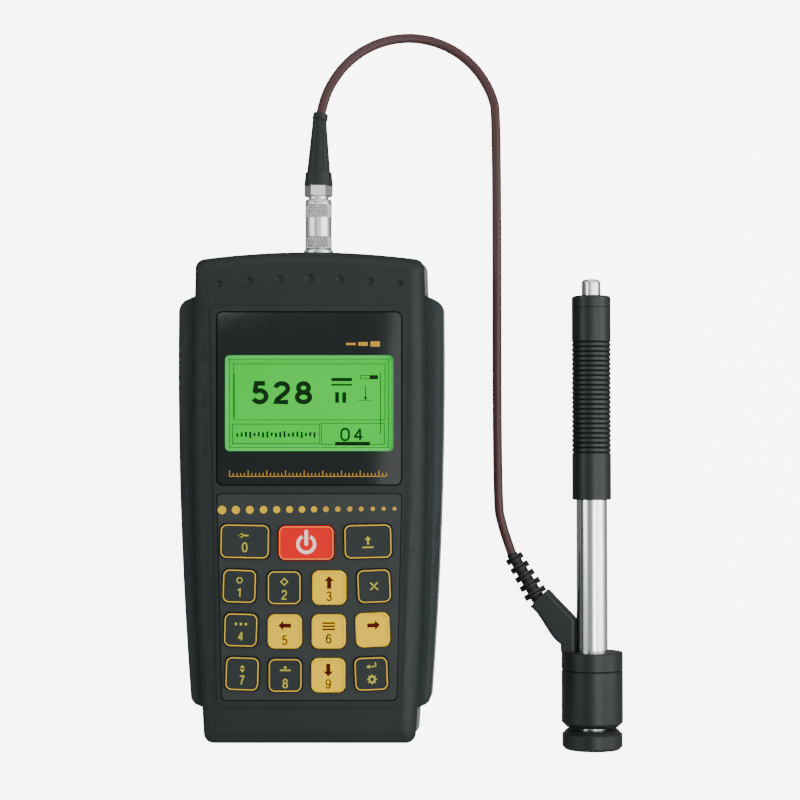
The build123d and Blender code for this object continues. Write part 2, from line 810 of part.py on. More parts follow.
cord_points = [Vector(*point) for point in cord_route]
cord_start = Plane(origin=cord_points[0], z_dir=cord_points[1] - cord_points[0])
cord_lead = (cord_points[1] - cord_points[0]).normalized()
boot_waist = Plane(origin=(plug_axis_x, boot_start + boot_skirt_length, plug_axis_z), x_dir=(1, 0, 0),
                   z_dir=(0, 1, 0))
boot_ring = Plane(origin=cord_points[0] - cord_lead * boot_ring_length, x_dir=(1, 0, 0), z_dir=cord_lead)
with BuildPart() as plug_boot:
    with BuildSketch(boot_waist):
        Circle(boot_waist_radius)
    with BuildSketch(boot_ring):
        Circle(boot_end_radius)
    loft(ruled=True)
    for flute in range(boot_flute_count):
        turn = 360 * (flute + 0.5) / boot_flute_count
        with BuildSketch(boot_waist):
            with PolarLocations(boot_waist_radius + boot_flute_radius - boot_flute_depth, 1, turn):
                Circle(boot_flute_radius)
        with BuildSketch(boot_ring):
            with PolarLocations(boot_end_radius + boot_flute_end_radius - boot_flute_depth, 1, turn):
                Circle(boot_flute_end_radius)
        loft(ruled=True, mode=Mode.SUBTRACT)
    with BuildSketch(connector_plane):
        with BuildLine():
            skirt_end = boot_start + boot_skirt_length
            Polyline((0, boot_start), (boot_skirt_radius, boot_start), (boot_skirt_end_radius, skirt_end),
                     (0, skirt_end), close=True)
        make_face()
    revolve(axis=connector_axis)
    with BuildSketch(boot_ring):
        Circle(boot_ring_radius)
    extrude(amount=boot_ring_length)
finish(plug_boot.part, "plug_boot")


def corner_radii(points):
    """Largest arc that fits each corner of the route."""
    radii = []
    for before, at, after in zip(points, points[1:], points[2:]):
        incoming = at - before
        outgoing = after - at
        half_turn = radians(incoming.get_angle(outgoing)) / 2
        radii.append(cord_run_share * min(incoming.length, outgoing.length) / tan(half_turn))
    return radii


# Cord
cord_radii = corner_radii(cord_points)
print("cord bend radii:", [round(radius, 1) for radius in cord_radii])
with BuildPart() as cord:
    with BuildLine() as cord_path:
        FilletPolyline(*cord_points, radius=cord_radii)
    with BuildSketch(cord_start):
        Circle(cord_radius)
    sweep(path=cord_path.wire())
cord_length = cord_path.wire().length
print("cord length:", round(cord_length, 1), "volume ratio:",
      round(cord.part.volume / (cord_length * 3.14159265 * cord_radius ** 2), 4))
finish(cord.part, "cord")

# Probe: support ring on the foot
with BuildPart() as support_ring:
    with BuildSketch(meridian):
        with BuildLine():
            thread = tube_radius + thread_clearance
            Polyline((foot_hole_radius, 0), (foot_radius - foot_bottom_chamfer, 0),
                     (foot_radius, foot_bottom_chamfer), (foot_radius, foot_length - foot_top_chamfer),
                     (foot_radius - foot_top_chamfer, foot_length), (thread, foot_length),
                     (thread, foot_floor), (foot_hole_radius, foot_floor), close=True)
        make_face()
    revolve(axis=probe_axis)
finish(support_ring.part, "support_ring")

# Coil housing, winding and collar round the guide tube
tube_hole = tube_radius + 0.02
with BuildPart() as coil_body:
    with BuildSketch(meridian):
        with BuildLine():
            Polyline((tube_hole, coil_station), (coil_radius - coil_bottom_chamfer, coil_station),
                     (coil_radius, coil_station + coil_bottom_chamfer),
                     (coil_radius, collar_station - seam_groove), (coil_radius - seam_groove, collar_station),
                     (coil_bore_radius, collar_station),
                     (coil_bore_radius, coil_station + coil_floor), (tube_hole, coil_station + coil_floor),
                     close=True)
        make_face()
    revolve(axis=probe_axis)
finish(coil_body.part, "coil_body")

with BuildPart() as coil_winding:
    with BuildSketch(station(coil_station + coil_floor)):
        Circle(coil_bore_radius - winding_gap)
        Circle(tube_radius + winding_gap, mode=Mode.SUBTRACT)
    extrude(amount=coil_length - coil_floor - winding_gap)
finish(coil_winding.part, "coil_winding")

with BuildPart() as coil_collar:
    with BuildSketch(meridian):
        with BuildLine():
            Polyline((tube_hole, collar_station), (coil_radius - seam_groove, collar_station),
                     (coil_radius, collar_station + seam_groove), (coil_radius, collar_end - collar_chamfer),
                     (coil_radius - collar_chamfer, collar_end), (tube_hole, collar_end), close=True)
        make_face()
    revolve(axis=probe_axis)
finish(coil_collar.part, "coil_collar")

with BuildPart() as guide_tube:
    with BuildSketch(station(tube_foot_station)):
        Circle(tube_radius)
        Circle(tube_bore_radius, mode=Mode.SUBTRACT)
    extrude(amount=tube_length)
    chamfer(guide_tube.faces().sort_by(Axis.Y)[-1].outer_wire().edges(), 0.4)
finish(guide_tube.part, "guide_tube")

# Ribbed loading sleeve
rib_end = rib_start + rib_count * rib_pitch
with BuildPart() as loading_sleeve:
    with BuildSketch(meridian):
        with BuildLine():
            guide = tube_radius + running_clearance
            step = sleeve_station + sleeve_guide_length
            Polyline((guide, sleeve_station), (sleeve_radius - sleeve_edge, sleeve_station),
                     (sleeve_radius, sleeve_station + sleeve_edge), (sleeve_radius, sleeve_end),
                     (sleeve_bore_radius, sleeve_end), (sleeve_bore_radius, step), (guide, step), close=True)
        make_face()
        for rib in range(rib_count + 1):
            groove = sleeve_station + rib_start + rib * rib_pitch
            with BuildLine():
                Polyline((sleeve_radius, groove - rib_groove_width / 2),
                         (sleeve_radius - rib_depth, groove),
                         (sleeve_radius, groove + rib_groove_width / 2),
                         (sleeve_radius + rib_depth, groove), close=True)
            make_face(mode=Mode.SUBTRACT)
    revolve(axis=probe_axis)
finish(loading_sleeve.part, "loading_sleeve")

with BuildPart() as sleeve_end_cap:
    with BuildSketch(meridian):
        with BuildLine():
            hole = button_radius + button_clearance
            spigot = sleeve_bore_radius - 0.02
            Polyline((hole, cap_end), (sleeve_radius - cap_edge, cap_end), (sleeve_radius, cap_end - cap_edge),
                     (sleeve_radius, sleeve_end + 0.2), (sleeve_radius - 0.2, sleeve_end), (spigot, sleeve_end),
                     (spigot, head_top), (cap_bore_radius, head_top), (cap_bore_radius, cap_roof_station),
                     (hole, cap_roof_station), close=True)
        make_face()
    revolve(axis=probe_axis)
finish(sleeve_end_cap.part, "sleeve_end_cap")

button_flange_top = cap_roof_station - button_play
button_flange_bottom = button_flange_top - button_flange_thickness
button_end = cap_end + button_proud
with BuildPart() as release_button:
    with BuildSketch(meridian):
        with BuildLine():
            Polyline((button_radius - button_dome, button_end), (0, button_end), (0, button_flange_bottom),
                     (button_flange_radius, button_flange_bottom), (button_flange_radius, button_flange_top),
                     (button_radius, button_flange_top), (button_radius, button_end - button_dome))
            RadiusArc((button_radius, button_end - button_dome), (button_radius - button_dome, button_end),
                      -button_dome)
        make_face()
    revolve(axis=probe_axis)
finish(release_button.part, "release_button")

# Rod, chuck and pin inside the tube
with BuildPart() as loading_rod:
    with BuildSketch(meridian):
        with BuildLine():
            head = sleeve_bore_radius - rod_head_clearance
            Polyline((rod_bore_radius, rod_station), (rod_radius, rod_station), (rod_radius, head_bottom),
                     (head, head_bottom), (head, head_top), (rod_bore_radius, head_top), close=True)
        make_face()
    revolve(axis=probe_axis)
finish(loading_rod.part, "loading_rod")

with BuildPart() as catch_chuck:
    with BuildSketch(meridian):
        with BuildLine():
            cavity_end = chuck_station + chuck_cavity_depth
            collar = tube_bore_radius - running_clearance
            Polyline((chuck_cavity_radius, chuck_station), (chuck_radius, chuck_station),
                     (chuck_radius, chuck_flange_station), (collar, chuck_flange_station), (collar, rod_station),
                     (rod_bore_radius, rod_station), (rod_bore_radius, cavity_end),
                     (chuck_cavity_radius, cavity_end), close=True)
        make_face()
    revolve(axis=probe_axis)
    with BuildSketch(station(chuck_station)):
        with PolarLocations(0, 3):
            with Locations((chuck_radius, 0)):
                Rectangle(2 * chuck_radius, chuck_slit)
    extrude(amount=chuck_cavity_depth, mode=Mode.SUBTRACT)
finish(catch_chuck.part, "catch_chuck")

with BuildPart() as release_pin:
    with BuildSketch(station(pin_station)):
        Circle(pin_radius)
    extrude(amount=button_flange_bottom - pin_station)
finish(release_pin.part, "release_pin")

with BuildPart() as spring_seat:
    with BuildSketch(station(seat_station)):
        Circle(tube_bore_radius - 0.02)
        Circle(rod_radius + seat_bore_clearance, mode=Mode.SUBTRACT)
    extrude(amount=seat_thickness)
finish(spring_seat.part, "spring_seat")


def coil_spring(start, end, coil_radius, wire_radius, turns):
    """Round wire wound between two stations of the probe."""
    base = station(start + wire_radius)
    height = end - start - 2 * wire_radius
    with BuildPart() as spring:
        with BuildLine() as path:
            Helix(height / turns, height, coil_radius)
        with BuildSketch(Plane(origin=path.line @ 0, z_dir=path.line % 0)):
            Circle(wire_radius)
        sweep(path=path.line, is_frenet=True)
    return base.from_local_coords(spring.part)


finish(coil_spring(seat_end, head_bottom, loading_coil_radius, loading_wire, loading_turns),
       "loading_spring")
finish(coil_spring(chuck_station - impact_spring_reach, chuck_flange_station, impact_coil_radius,
                   impact_wire, impact_turns), "impact_spring")
finish(coil_spring(head_top, button_flange_bottom, button_coil_radius, button_wire, button_turns),
       "button_spring")

# Impact body with its test ball
ball_station = ball_lift + ball_radius
with BuildPart() as impact_body:
    with BuildSketch(meridian):
        with BuildLine():
            land = tube_bore_radius - running_clearance
            low_land = body_shoulder + body_land
            high_land = low_land + body_waist
            stem_end = body_top_station + body_stem
            Polyline((0, body_nose_lift), (body_nose_radius, body_nose_lift),
                     (body_nose_radius, body_shoulder), (land, body_shoulder), (land, low_land),
                     (body_waist_radius, low_land + 0.6), (body_waist_radius, high_land - 0.6),
                     (land, high_land), (land, body_top_station), (body_stem_radius, body_top_station),
                     (body_stem_radius, stem_end), (body_knob_radius, stem_end + 0.4),
                     (body_knob_radius, stem_end + body_knob - 0.3), (0, stem_end + body_knob), close=True)
        make_face()
    revolve(axis=probe_axis)
    with Locations(station(ball_station)):
        Sphere(ball_radius, mode=Mode.SUBTRACT)
finish(impact_body.part, "impact_body")

with BuildPart() as impact_ball:
    with Locations(station(ball_station)):
        Sphere(ball_radius)
finish(impact_ball.part, "impact_ball")

# Cable relief: a moulded body on the collar and a finned tail along the cord's end
roll = radians(relief_roll)
relief_side = Vector(-cos(roll), 0, 0) - probe_up * sin(roll)
relief_plane = Plane(origin=foot_point, x_dir=relief_side, z_dir=relief_side.cross(probe_direction))
relief_inner = tube_radius + relief_tube_gap
relief_base = (coil_radius, collar_end)
relief_rise = (coil_radius, collar_end + relief_collar_rise)
relief_shoulder = (coil_radius + relief_shoulder_reach, collar_end + relief_shoulder_rise)
relief_top = (coil_radius + relief_top_reach, collar_end + relief_top_rise)
relief_back = (relief_inner, collar_end + relief_back_rise)


def between(start, end, share_x, share_y):
    """Point between two points of the relief's outline."""
    return (start[0] + (end[0] - start[0]) * share_x, start[1] + (end[1] - start[1]) * share_y)


root = between(relief_shoulder, relief_top, relief_root_share, relief_root_share)
tail_end = cord_points[-1]
tail_root = relief_plane.from_local_coords(Vector(*root))
tail_direction = (tail_end - tail_root).normalized()
tail_length = (tail_end - tail_root).length
fin_room = tail_length - relief_end - relief_fin_thickness - relief_root_gap
fin_pitch = fin_room / (relief_fin_count - 1)
with BuildPart() as cable_relief:
    with BuildSketch(relief_plane.offset(-relief_depth / 2)):
        with BuildLine():
            Line(relief_base, relief_rise)
            Spline(relief_rise, between(relief_rise, relief_shoulder, 0.34, 0.28),
                   between(relief_rise, relief_shoulder, 0.62, 0.64), relief_shoulder)
            Polyline(relief_shoulder, relief_top, relief_back, (relief_inner, collar_end), relief_base)
        make_face()
    extrude(amount=relief_depth)
    for end in (0, -1):
        rim = cable_relief.faces().sort_by(Axis(foot_point, relief_plane.z_dir))[end].edges()
        middles = [(relief_plane.to_local_coords(edge @ 0.5), edge) for edge in rim]
        rounded = [edge for middle, edge in middles
                   if middle.Y > collar_end + relief_collar_rise / 4 and middle.X < root[0] - 0.5]
        fillet(rounded, relief_edge_radius)
    with BuildSketch(Plane(origin=tail_end, x_dir=(1, 0, 0), z_dir=cord_points[-1] - cord_points[-2])):
        Circle(relief_core_radius)
    with BuildSketch(Plane(origin=tail_root - tail_direction * relief_root_sink, x_dir=(1, 0, 0),
                           z_dir=-tail_direction)):
        Circle(relief_root_radius)
    loft(ruled=True)
    for fin in range(relief_fin_count):
        fin_middle = tail_end - tail_direction * (relief_end + fin * fin_pitch + relief_fin_thickness / 2)
        fin_side = tail_direction.cross(Vector(0, 0, 1))
        fin_plane = Plane(origin=fin_middle, x_dir=fin_side, z_dir=-tail_direction)
        fin_radius = relief_fin_radius + relief_fin_growth * fin
        side_length = (relief_fin_thickness - relief_slot) / 2
        with BuildSketch(fin_plane.offset(-relief_fin_thickness / 2)):
            Circle(fin_radius)
        extrude(amount=side_length)
        with BuildSketch(fin_plane.offset(relief_slot / 2)):
            Circle(fin_radius)
        extrude(amount=side_length)
        with BuildSketch(fin_plane.offset(-relief_slot / 2)):
            Circle(fin_radius)
            Rectangle(2 * fin_radius * relief_slot_share, 2 * fin_radius, mode=Mode.SUBTRACT)
            Circle(relief_root_radius)
        extrude(amount=relief_slot)
finish(cable_relief.part, "cable_relief")

print("probe tilt in degrees:", round(degrees(probe_tilt), 3), "foot axis height:", round(foot_height, 3))
print("probe axis direction:", tuple(round(value, 6) for value in probe_direction))
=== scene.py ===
"""Dresses the portable hardness tester: its finishes, printed symbols, plug, cord and studio."""

import logging
import math
from dataclasses import dataclass, field
from enum import Enum
from typing import Callable, Iterable, Optional, Sequence

import bmesh
import bpy
from mathutils import Matrix, Vector


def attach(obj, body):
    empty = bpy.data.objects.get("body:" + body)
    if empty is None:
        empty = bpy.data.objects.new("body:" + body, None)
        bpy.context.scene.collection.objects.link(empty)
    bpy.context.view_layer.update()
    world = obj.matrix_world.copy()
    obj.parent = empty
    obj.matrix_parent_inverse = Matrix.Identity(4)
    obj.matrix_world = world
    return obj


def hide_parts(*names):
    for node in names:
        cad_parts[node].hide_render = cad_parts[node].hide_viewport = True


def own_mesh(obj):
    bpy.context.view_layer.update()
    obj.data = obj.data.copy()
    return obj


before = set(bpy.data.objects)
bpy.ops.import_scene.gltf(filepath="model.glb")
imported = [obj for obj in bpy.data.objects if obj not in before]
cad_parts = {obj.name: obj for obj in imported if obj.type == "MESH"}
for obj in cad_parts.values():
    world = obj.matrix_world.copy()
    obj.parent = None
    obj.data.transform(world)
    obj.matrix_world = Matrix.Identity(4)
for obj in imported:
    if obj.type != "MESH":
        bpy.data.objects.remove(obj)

LOG = logging.getLogger("hardness_tester")
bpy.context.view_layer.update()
MM = 0.001
Point = tuple[float, float]
Place = tuple[float, float, float]
Colour = tuple[float, float, float, float]
Material = bpy.types.Material
Mesh = bpy.types.Mesh
Object = bpy.types.Object
Socket = bpy.types.NodeSocket
Tree = bpy.types.NodeTree


def linear(code: str) -> Colour:
    """Turns an sRGB hex colour into linear light.

    Args:
        code: Six hex digits, such as "2c3131".

    Returns:
        Red, green, blue and alpha in linear light.
    """
    channels = [int(code[start:start + 2], 16) / 255 for start in (0, 2, 4)]
    light = [value / 12.92 if value <= 0.04045 else ((value + 0.055) / 1.055) ** 2.4 for value in channels]
    return (light[0], light[1], light[2], 1.0)


def add_node(
    tree: Tree,
    kind: str,
    settings: Optional[dict[str, object]] = None,
    sockets: Optional[dict[object, object]] = None,
    links: Optional[dict[object, Socket]] = None,
) -> bpy.types.Node:
    """Adds one shader node with its settings, values and incoming links.

    Args:
        tree: The node tree that takes the node.
        kind: The node's type name.
        settings: Attributes to set on the node.
        sockets: Values for its input sockets, by name or number.
        links: Output sockets to join to its inputs, by name or number.

    Returns:
        The new node.
    """
    node = tree.nodes.new(kind)
    for name, value in (settings or {}).items():
        setattr(node, name, value)
    for name, value in (sockets or {}).items():
        node.inputs[name].default_value = value
    for name, socket in (links or {}).items():
        tree.links.new(socket, node.inputs[name])
    return node


def add_object(name: str, data: bpy.types.ID) -> Object:
    """Adds an object to the scene.

    Args:
        name: The object's name.
        data: Its mesh, curve, light or camera.

    Returns:
        The new object.
    """
    holder = bpy.data.objects.new(name, data)
    bpy.context.scene.collection.objects.link(holder)
    return holder


def per_metre(size_mm: float) -> float:
    """Pattern scale that repeats about once in a size given in millimetres."""
    return 1.0 / (size_mm * MM)


def noise(tree: Tree, place: Socket, size_mm: float, detail: float) -> Socket:
    """Value of a noise pattern whose spots are about a size in millimetres wide."""
    return add_node(tree, "ShaderNodeTexNoise", sockets={"Scale": per_metre(size_mm), "Detail": detail},
                    links={"Vector": place}).outputs["Fac"]


def ramp(tree: Tree, value: Socket, span: Point = (0.0, 1.0), result: Point = (0.0, 1.0)) -> Socket:
    """Maps a value to a new range.

    Args:
        tree: The node tree.
        value: The value.
        span: The part of its range that counts.
        result: What the ends of that part become.

    Returns:
        The mapped value.
    """
    ends = dict(zip(("From Min", "From Max", "To Min", "To Max"), (*span, *result)))
    return add_node(tree, "ShaderNodeMapRange", sockets=ends, links={"Value": value}).outputs["Result"]


def compute(tree: Tree, operation: str, *terms: object, clamp: bool = False) -> Socket:
    """Adds one step of arithmetic.

    Args:
        tree: The node tree.
        operation: The math node's operation.
        terms: Its inputs in order, each a socket or a float.
        clamp: Whether the result is kept between 0 and 1.

    Returns:
        The result.
    """
    numbers = {place: term for place, term in enumerate(terms) if isinstance(term, float)}
    sockets = {place: term for place, term in enumerate(terms) if place not in numbers}
    return add_node(tree, "ShaderNodeMath", {"operation": operation, "use_clamp": clamp}, numbers,
                    sockets).outputs[0]


def blend(tree: Tree, share: Socket, tone: str, other: str) -> Socket:
    """Mixes two sRGB hex tones by a share."""
    return add_node(tree, "ShaderNodeMix", {"data_type": "RGBA"}, {"A": linear(tone), "B": linear(other)},
                    {"Factor": share}).outputs["Result"]


def bump(tree: Tree, height: Socket, strength: float, depth_mm: float) -> Socket:
    """Normal of a surface whose height differs by a depth in millimetres."""
    return add_node(tree, "ShaderNodeBump", sockets={"Strength": strength, "Distance": depth_mm * MM},
                    links={"Height": height}).outputs["Normal"]


def new_material(name: str) -> tuple[Material, Tree, Socket]:
    """Creates an empty node material.

    Args:
        name: The material's name.

    Returns:
        The material, its node tree and the object's coordinates.
    """
    material = bpy.data.materials.new(name)
    material.use_nodes = True
    tree = material.node_tree
    tree.nodes.clear()
    return material, tree, add_node(tree, "ShaderNodeTexCoord").outputs["Object"]


def add_shader(tree: Tree, sockets: dict[str, float], links: dict[str, Socket]) -> None:
    """Adds a material's shader and its output.

    Args:
        tree: The material's node tree.
        sockets: The shader's constants.
        links: Output sockets to join to its inputs.
    """
    shader = add_node(tree, "ShaderNodeBsdfPrincipled", sockets=sockets, links=links)
    add_node(tree, "ShaderNodeOutputMaterial", links={"Surface": shader.outputs["BSDF"]})


class Tooling(Enum):
    """How the surface of a metal piece was made."""

    POLISHED = "polished"
    TURNED = "turned"
    BLASTED = "blasted"


@dataclass(frozen=True)
class MouldedFinish:
    """Moulded plastic or rubber: an even tone with the fine spark-eroded grain of its mould."""

    name: str
    tone: str
    worn_tone: str
    roughness: float
    ior: float = 1.5
    grain_mm: float = 0.35
    grain_depth_mm: float = 0.03
    mottle_mm: float = 14.0
    mottle: float = 0.35
    fleck: float = 0.3
    specular: float = 0.3
    gloss_range: Point = (-0.05, 0.07)

    def build(self) -> Material:
        """Builds the material."""
        material, tree, place = new_material(self.name)
        mottle = ramp(tree, noise(tree, place, self.mottle_mm, 4.0), (0.3, 0.7), (0.0, self.mottle))
        grain = noise(tree, place, self.grain_mm, 3.0)
        fleck = ramp(tree, grain, (0.35, 0.75), (0.0, self.fleck))
        share = compute(tree, "ADD", mottle, fleck, clamp=True)
        low, high = self.gloss_range
        add_shader(tree, {"IOR": self.ior, "Specular IOR Level": self.specular}, {
            "Base Color": blend(tree, share, self.tone, self.worn_tone),
            "Roughness": ramp(tree, grain, result=(self.roughness + low, self.roughness + high)),
            "Normal": bump(tree, grain, 0.6, self.grain_depth_mm),
        })
        return material


@dataclass(frozen=True)
class AcrylicFinish:
    """Back-printed acrylic: a deep even black under a clear glossy face."""

    name: str
    tone: str
    haze_tone: str
    roughness: float = 0.1
    ior: float = 1.49
    haze_mm: float = 40.0
    wipe_mm: float = 3.0
    gloss_range: Point = (-0.02, 0.03)

    def build(self) -> Material:
        """Builds the material."""
        material, tree, place = new_material(self.name)
        haze = noise(tree, place, self.haze_mm, 2.0)
        wipe = noise(tree, place, self.wipe_mm, 5.0)
        low, high = self.gloss_range
        add_shader(tree, {"IOR": self.ior}, {
            "Base Color": blend(tree, haze, self.tone, self.haze_tone),
            "Roughness": ramp(tree, wipe, result=(self.roughness + low, self.roughness + high)),
        })
        return material


@dataclass(frozen=True)
class MetalFinish:
    """Metal: a coloured reflection, broken by turning rings or by the grit of a blast."""

    name: str
    tone: str
    stain_tone: str
    roughness: float
    tooling: Tooling = Tooling.TURNED
    mark_mm: float = 0.22
    mark_depth_mm: float = 0.004
    stain_mm: float = 9.0
    ring_stretch: float = 0.02
    least_roughness: float = 0.02
    metallic: float = 1.0
    specular: float = 0.5

    def build(self) -> Material:
        """Builds the material."""
        material, tree, place = new_material(self.name)
        across = per_metre(self.mark_mm)
        along = across * self.ring_stretch if self.tooling is Tooling.TURNED else across
        rings = add_node(tree, "ShaderNodeMapping", sockets={"Scale": (along, across, along)},
                         links={"Vector": place})
        marks = add_node(tree, "ShaderNodeTexNoise", sockets={"Scale": 1.0, "Detail": 2.0},
                         links={"Vector": rings.outputs["Vector"]}).outputs["Fac"]
        stain = noise(tree, place, self.stain_mm, 3.0)
        spread, strength = (0.02, 0.25) if self.tooling is Tooling.POLISHED else (0.08, 0.7)
        smoothest = max(self.least_roughness, self.roughness - spread)
        add_shader(tree, {"Metallic": self.metallic, "Specular IOR Level": self.specular}, {
            "Base Color": blend(tree, stain, self.tone, self.stain_tone),
            "Roughness": ramp(tree, marks, result=(smoothest, self.roughness + spread)),
            "Normal": bump(tree, marks, strength, self.mark_depth_mm),
        })
        return material


@dataclass(frozen=True)
class BacklitFinish:
    """Liquid crystal glass lit from behind: a glowing green, a little brighter towards its rim."""

    name: str
    tone: str
    rim_tone: str
    glow: float
    centre: Point
    half: Point
    rim_mm: float = 2.2
    cloud_mm: float = 22.0
    cloud: float = 0.07
    roughness: float = 0.3
    specular: float = 0.12

    def build(self) -> Material:
        """Builds the material."""
        material, tree, place = new_material(self.name)
        split = add_node(tree, "ShaderNodeSeparateXYZ", links={"Vector": place})
        edges = []
        for axis, middle, half in zip("XY", self.centre, self.half):
            offset = compute(tree, "SUBTRACT", split.outputs[axis], middle * MM)
            reach = compute(tree, "ABSOLUTE", offset)
            edges.append(ramp(tree, reach, ((half - self.rim_mm) * MM, half * MM)))
        cloud = ramp(tree, noise(tree, place, self.cloud_mm, 2.0), (0.35, 0.65), (0.0, self.cloud))
        share = compute(tree, "MAXIMUM", compute(tree, "MAXIMUM", *edges), cloud, clamp=True)
        tone = blend(tree, share, self.tone, self.rim_tone)
        add_shader(tree, {"Emission Strength": self.glow, "Roughness": self.roughness,
                          "Specular IOR Level": self.specular}, {"Base Color": tone, "Emission Color": tone})
        return material


@dataclass(frozen=True)
class InkFinish:
    """Screen-printed ink: a thin opaque film in which the mesh of the screen shows faintly."""

    name: str
    tone: str
    thin_tone: str
    roughness: float = 0.5
    mesh_mm: float = 0.4
    specular: float = 0.5

    def build(self) -> Material:
        """Builds the material."""
        material, tree, place = new_material(self.name)
        mesh = noise(tree, place, self.mesh_mm, 2.0)
        add_shader(tree, {"Roughness": self.roughness, "Specular IOR Level": self.specular},
                   {"Base Color": blend(tree, mesh, self.tone, self.thin_tone)})
        return material


@dataclass
class Finishes:
    """All finishes of the tester, built once and handed out by name."""

    recipes: Sequence[object]
    built: dict[str, Material] = field(default_factory=dict)

    def __post_init__(self) -> None:
        """Builds every recipe."""
        for recipe in self.recipes:
            self.built[recipe.name] = recipe.build()

    def __getitem__(self, name: str) -> Material:
        """The material of that name."""
        return self.built[name]

    def coat(self, coats: dict[str, Sequence[str]]) -> None:
        """Gives CAD nodes their finishes.

        Args:
            coats: The nodes of each finish.
        """
        for name, nodes in coats.items():
            for node in nodes:
                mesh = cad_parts[node].data
                mesh.materials.clear()
                mesh.materials.append(self.built[name])


def shape_object(name: str, mesh: Mesh, finish: Iterable[Material], body: str) -> Object:
    """Links a mesh as a piece, gives it its finish and lets it ride on a body.

    Args:
        name: The piece's name.
        mesh: Its mesh, in place.
        finish: Its materials in slot order.
        body: The CAD body that it moves with.

    Returns:
        The new object.
    """
    piece = add_object(name, mesh)
    for material in finish:
        mesh.materials.append(material)
    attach(piece, body)
    return piece


def spun_mesh(name: str, profile: Sequence[Point], place: Matrix, teeth: Callable[[float, float], float],
              segments: int) -> Mesh:
    """Spins a profile about the local Z axis, with a radius change round the turn.

    Args:
        name: The mesh's name.
        profile: Radius and height pairs in millimetres, from one end to the other.
        place: Matrix that takes the local axis to the row frame, in metres.
        teeth: Change of radius in millimetres for an angle and a height.
        segments: Faces round the turn.

    Returns:
        The closed mesh, with its ends capped.
    """
    form = bmesh.new()
    rings = []
    for radius, height in profile:
        ring = []
        for step in range(segments):
            angle = 2 * math.pi * step / segments
            reach = (radius + teeth(angle, height)) * MM
            corner = Vector((reach * math.cos(angle), reach * math.sin(angle), height * MM))
            ring.append(form.verts.new(place @ corner))
        rings.append(ring)
    for lower, upper in zip(rings, rings[1:]):
        for step in range(segments):
            after = (step + 1) % segments
            form.faces.new((lower[step], lower[after], upper[after], upper[step]))
    form.faces.new(list(reversed(rings[0])))
    form.faces.new(rings[-1])
    bmesh.ops.recalc_face_normals(form, faces=form.faces)
    for face in form.faces:
        face.smooth = len(face.verts) == 4
    mesh = bpy.data.meshes.new(name)
    form.to_mesh(mesh)
    form.free()
    return mesh


DIGIT_WIDTH = 0.52
# Least squared mean normal at a line's corner, which keeps a sharp corner from growing a spike.
SHARPEST_BEND = 0.35


def sweep_line(x: float, y: float, radius_x: float, radius_y: float, start: float, end: float,
               steps: int = 20) -> list[Point]:
    """Points along part of an ellipse.

    Args:
        x: Its middle across.
        y: Its middle along.
        radius_x: Its radius across.
        radius_y: Its radius along.
        start: First angle in degrees.
        end: Last angle in degrees.
        steps: Number of steps between them.

    Returns:
        The points in order, one more than the steps.
    """
    angles = [math.radians(start + (end - start) * step / steps) for step in range(steps + 1)]
    return [(x + radius_x * math.cos(angle), y + radius_y * math.sin(angle)) for angle in angles]


def digit_lines(digit: str) -> list[tuple[list[Point], bool]]:
    """Centre lines of one plain digit.

    Args:
        digit: One of the ten digits.

    Returns:
        Lines in a box of DIGIT_WIDTH by 1, each with whether it is closed.
    """
    oval = [(0.26 + 0.26 * math.copysign(abs(math.cos(a)) ** 0.8, math.cos(a)),
             0.5 + 0.5 * math.copysign(abs(math.sin(a)) ** 0.8, math.sin(a)))
            for a in (math.pi * step / 20 for step in range(40))]
    loop = sweep_line(0.26, 0.31, 0.26, 0.31, 0, 360, 32)[:-1]
    hook = [(0.48, 0.8), (0.44, 0.92), (0.35, 0.985), (0.26, 1.0), (0.15, 0.96), (0.06, 0.82), (0.01, 0.6),
            (0.0, 0.42), (0.0, 0.31)]
    forms = {
        "0": [(oval, True)],
        "1": [([(0.36, 1.0), (0.36, 0.0)], False),
              ([(0.08, 0.77), (0.22, 0.81), (0.31, 0.88), (0.36, 0.99)], False)],
        "2": [(sweep_line(0.26, 0.73, 0.25, 0.27, 172, -30)
               + [(0.39, 0.47), (0.2, 0.28), (0.07, 0.13), (0.02, 0.0), (0.52, 0.0)], False)],
        "3": [(sweep_line(0.25, 0.76, 0.22, 0.24, 165, -90), False),
              (sweep_line(0.25, 0.26, 0.26, 0.26, 90, -165), False), ([(0.17, 0.52), (0.27, 0.52)], False)],
        "4": [([(0.38, 0.0), (0.38, 1.0)], False), ([(0.4, 1.0), (0.0, 0.28)], False),
              ([(0.0, 0.28), (0.54, 0.28)], False)],
        "5": [([(0.47, 1.0), (0.11, 1.0), (0.05, 0.49)], False),
              (sweep_line(0.25, 0.31, 0.27, 0.31, 142, -155), False)],
        "6": [(loop, True), (hook, False)],
        "7": [([(0.0, 1.0), (0.52, 1.0)], False),
              ([(0.52, 1.0), (0.36, 0.74), (0.24, 0.42), (0.18, 0.0)], False)],
        "8": [(sweep_line(0.26, 0.76, 0.21, 0.24, 0, 360, 28)[:-1], True),
              (sweep_line(0.26, 0.26, 0.26, 0.26, 0, 360, 28)[:-1], True)],
        "9": [([(DIGIT_WIDTH - x, 1 - y) for x, y in loop], True),
              ([(DIGIT_WIDTH - x, 1 - y) for x, y in hook], False)],
    }
    return forms[digit]


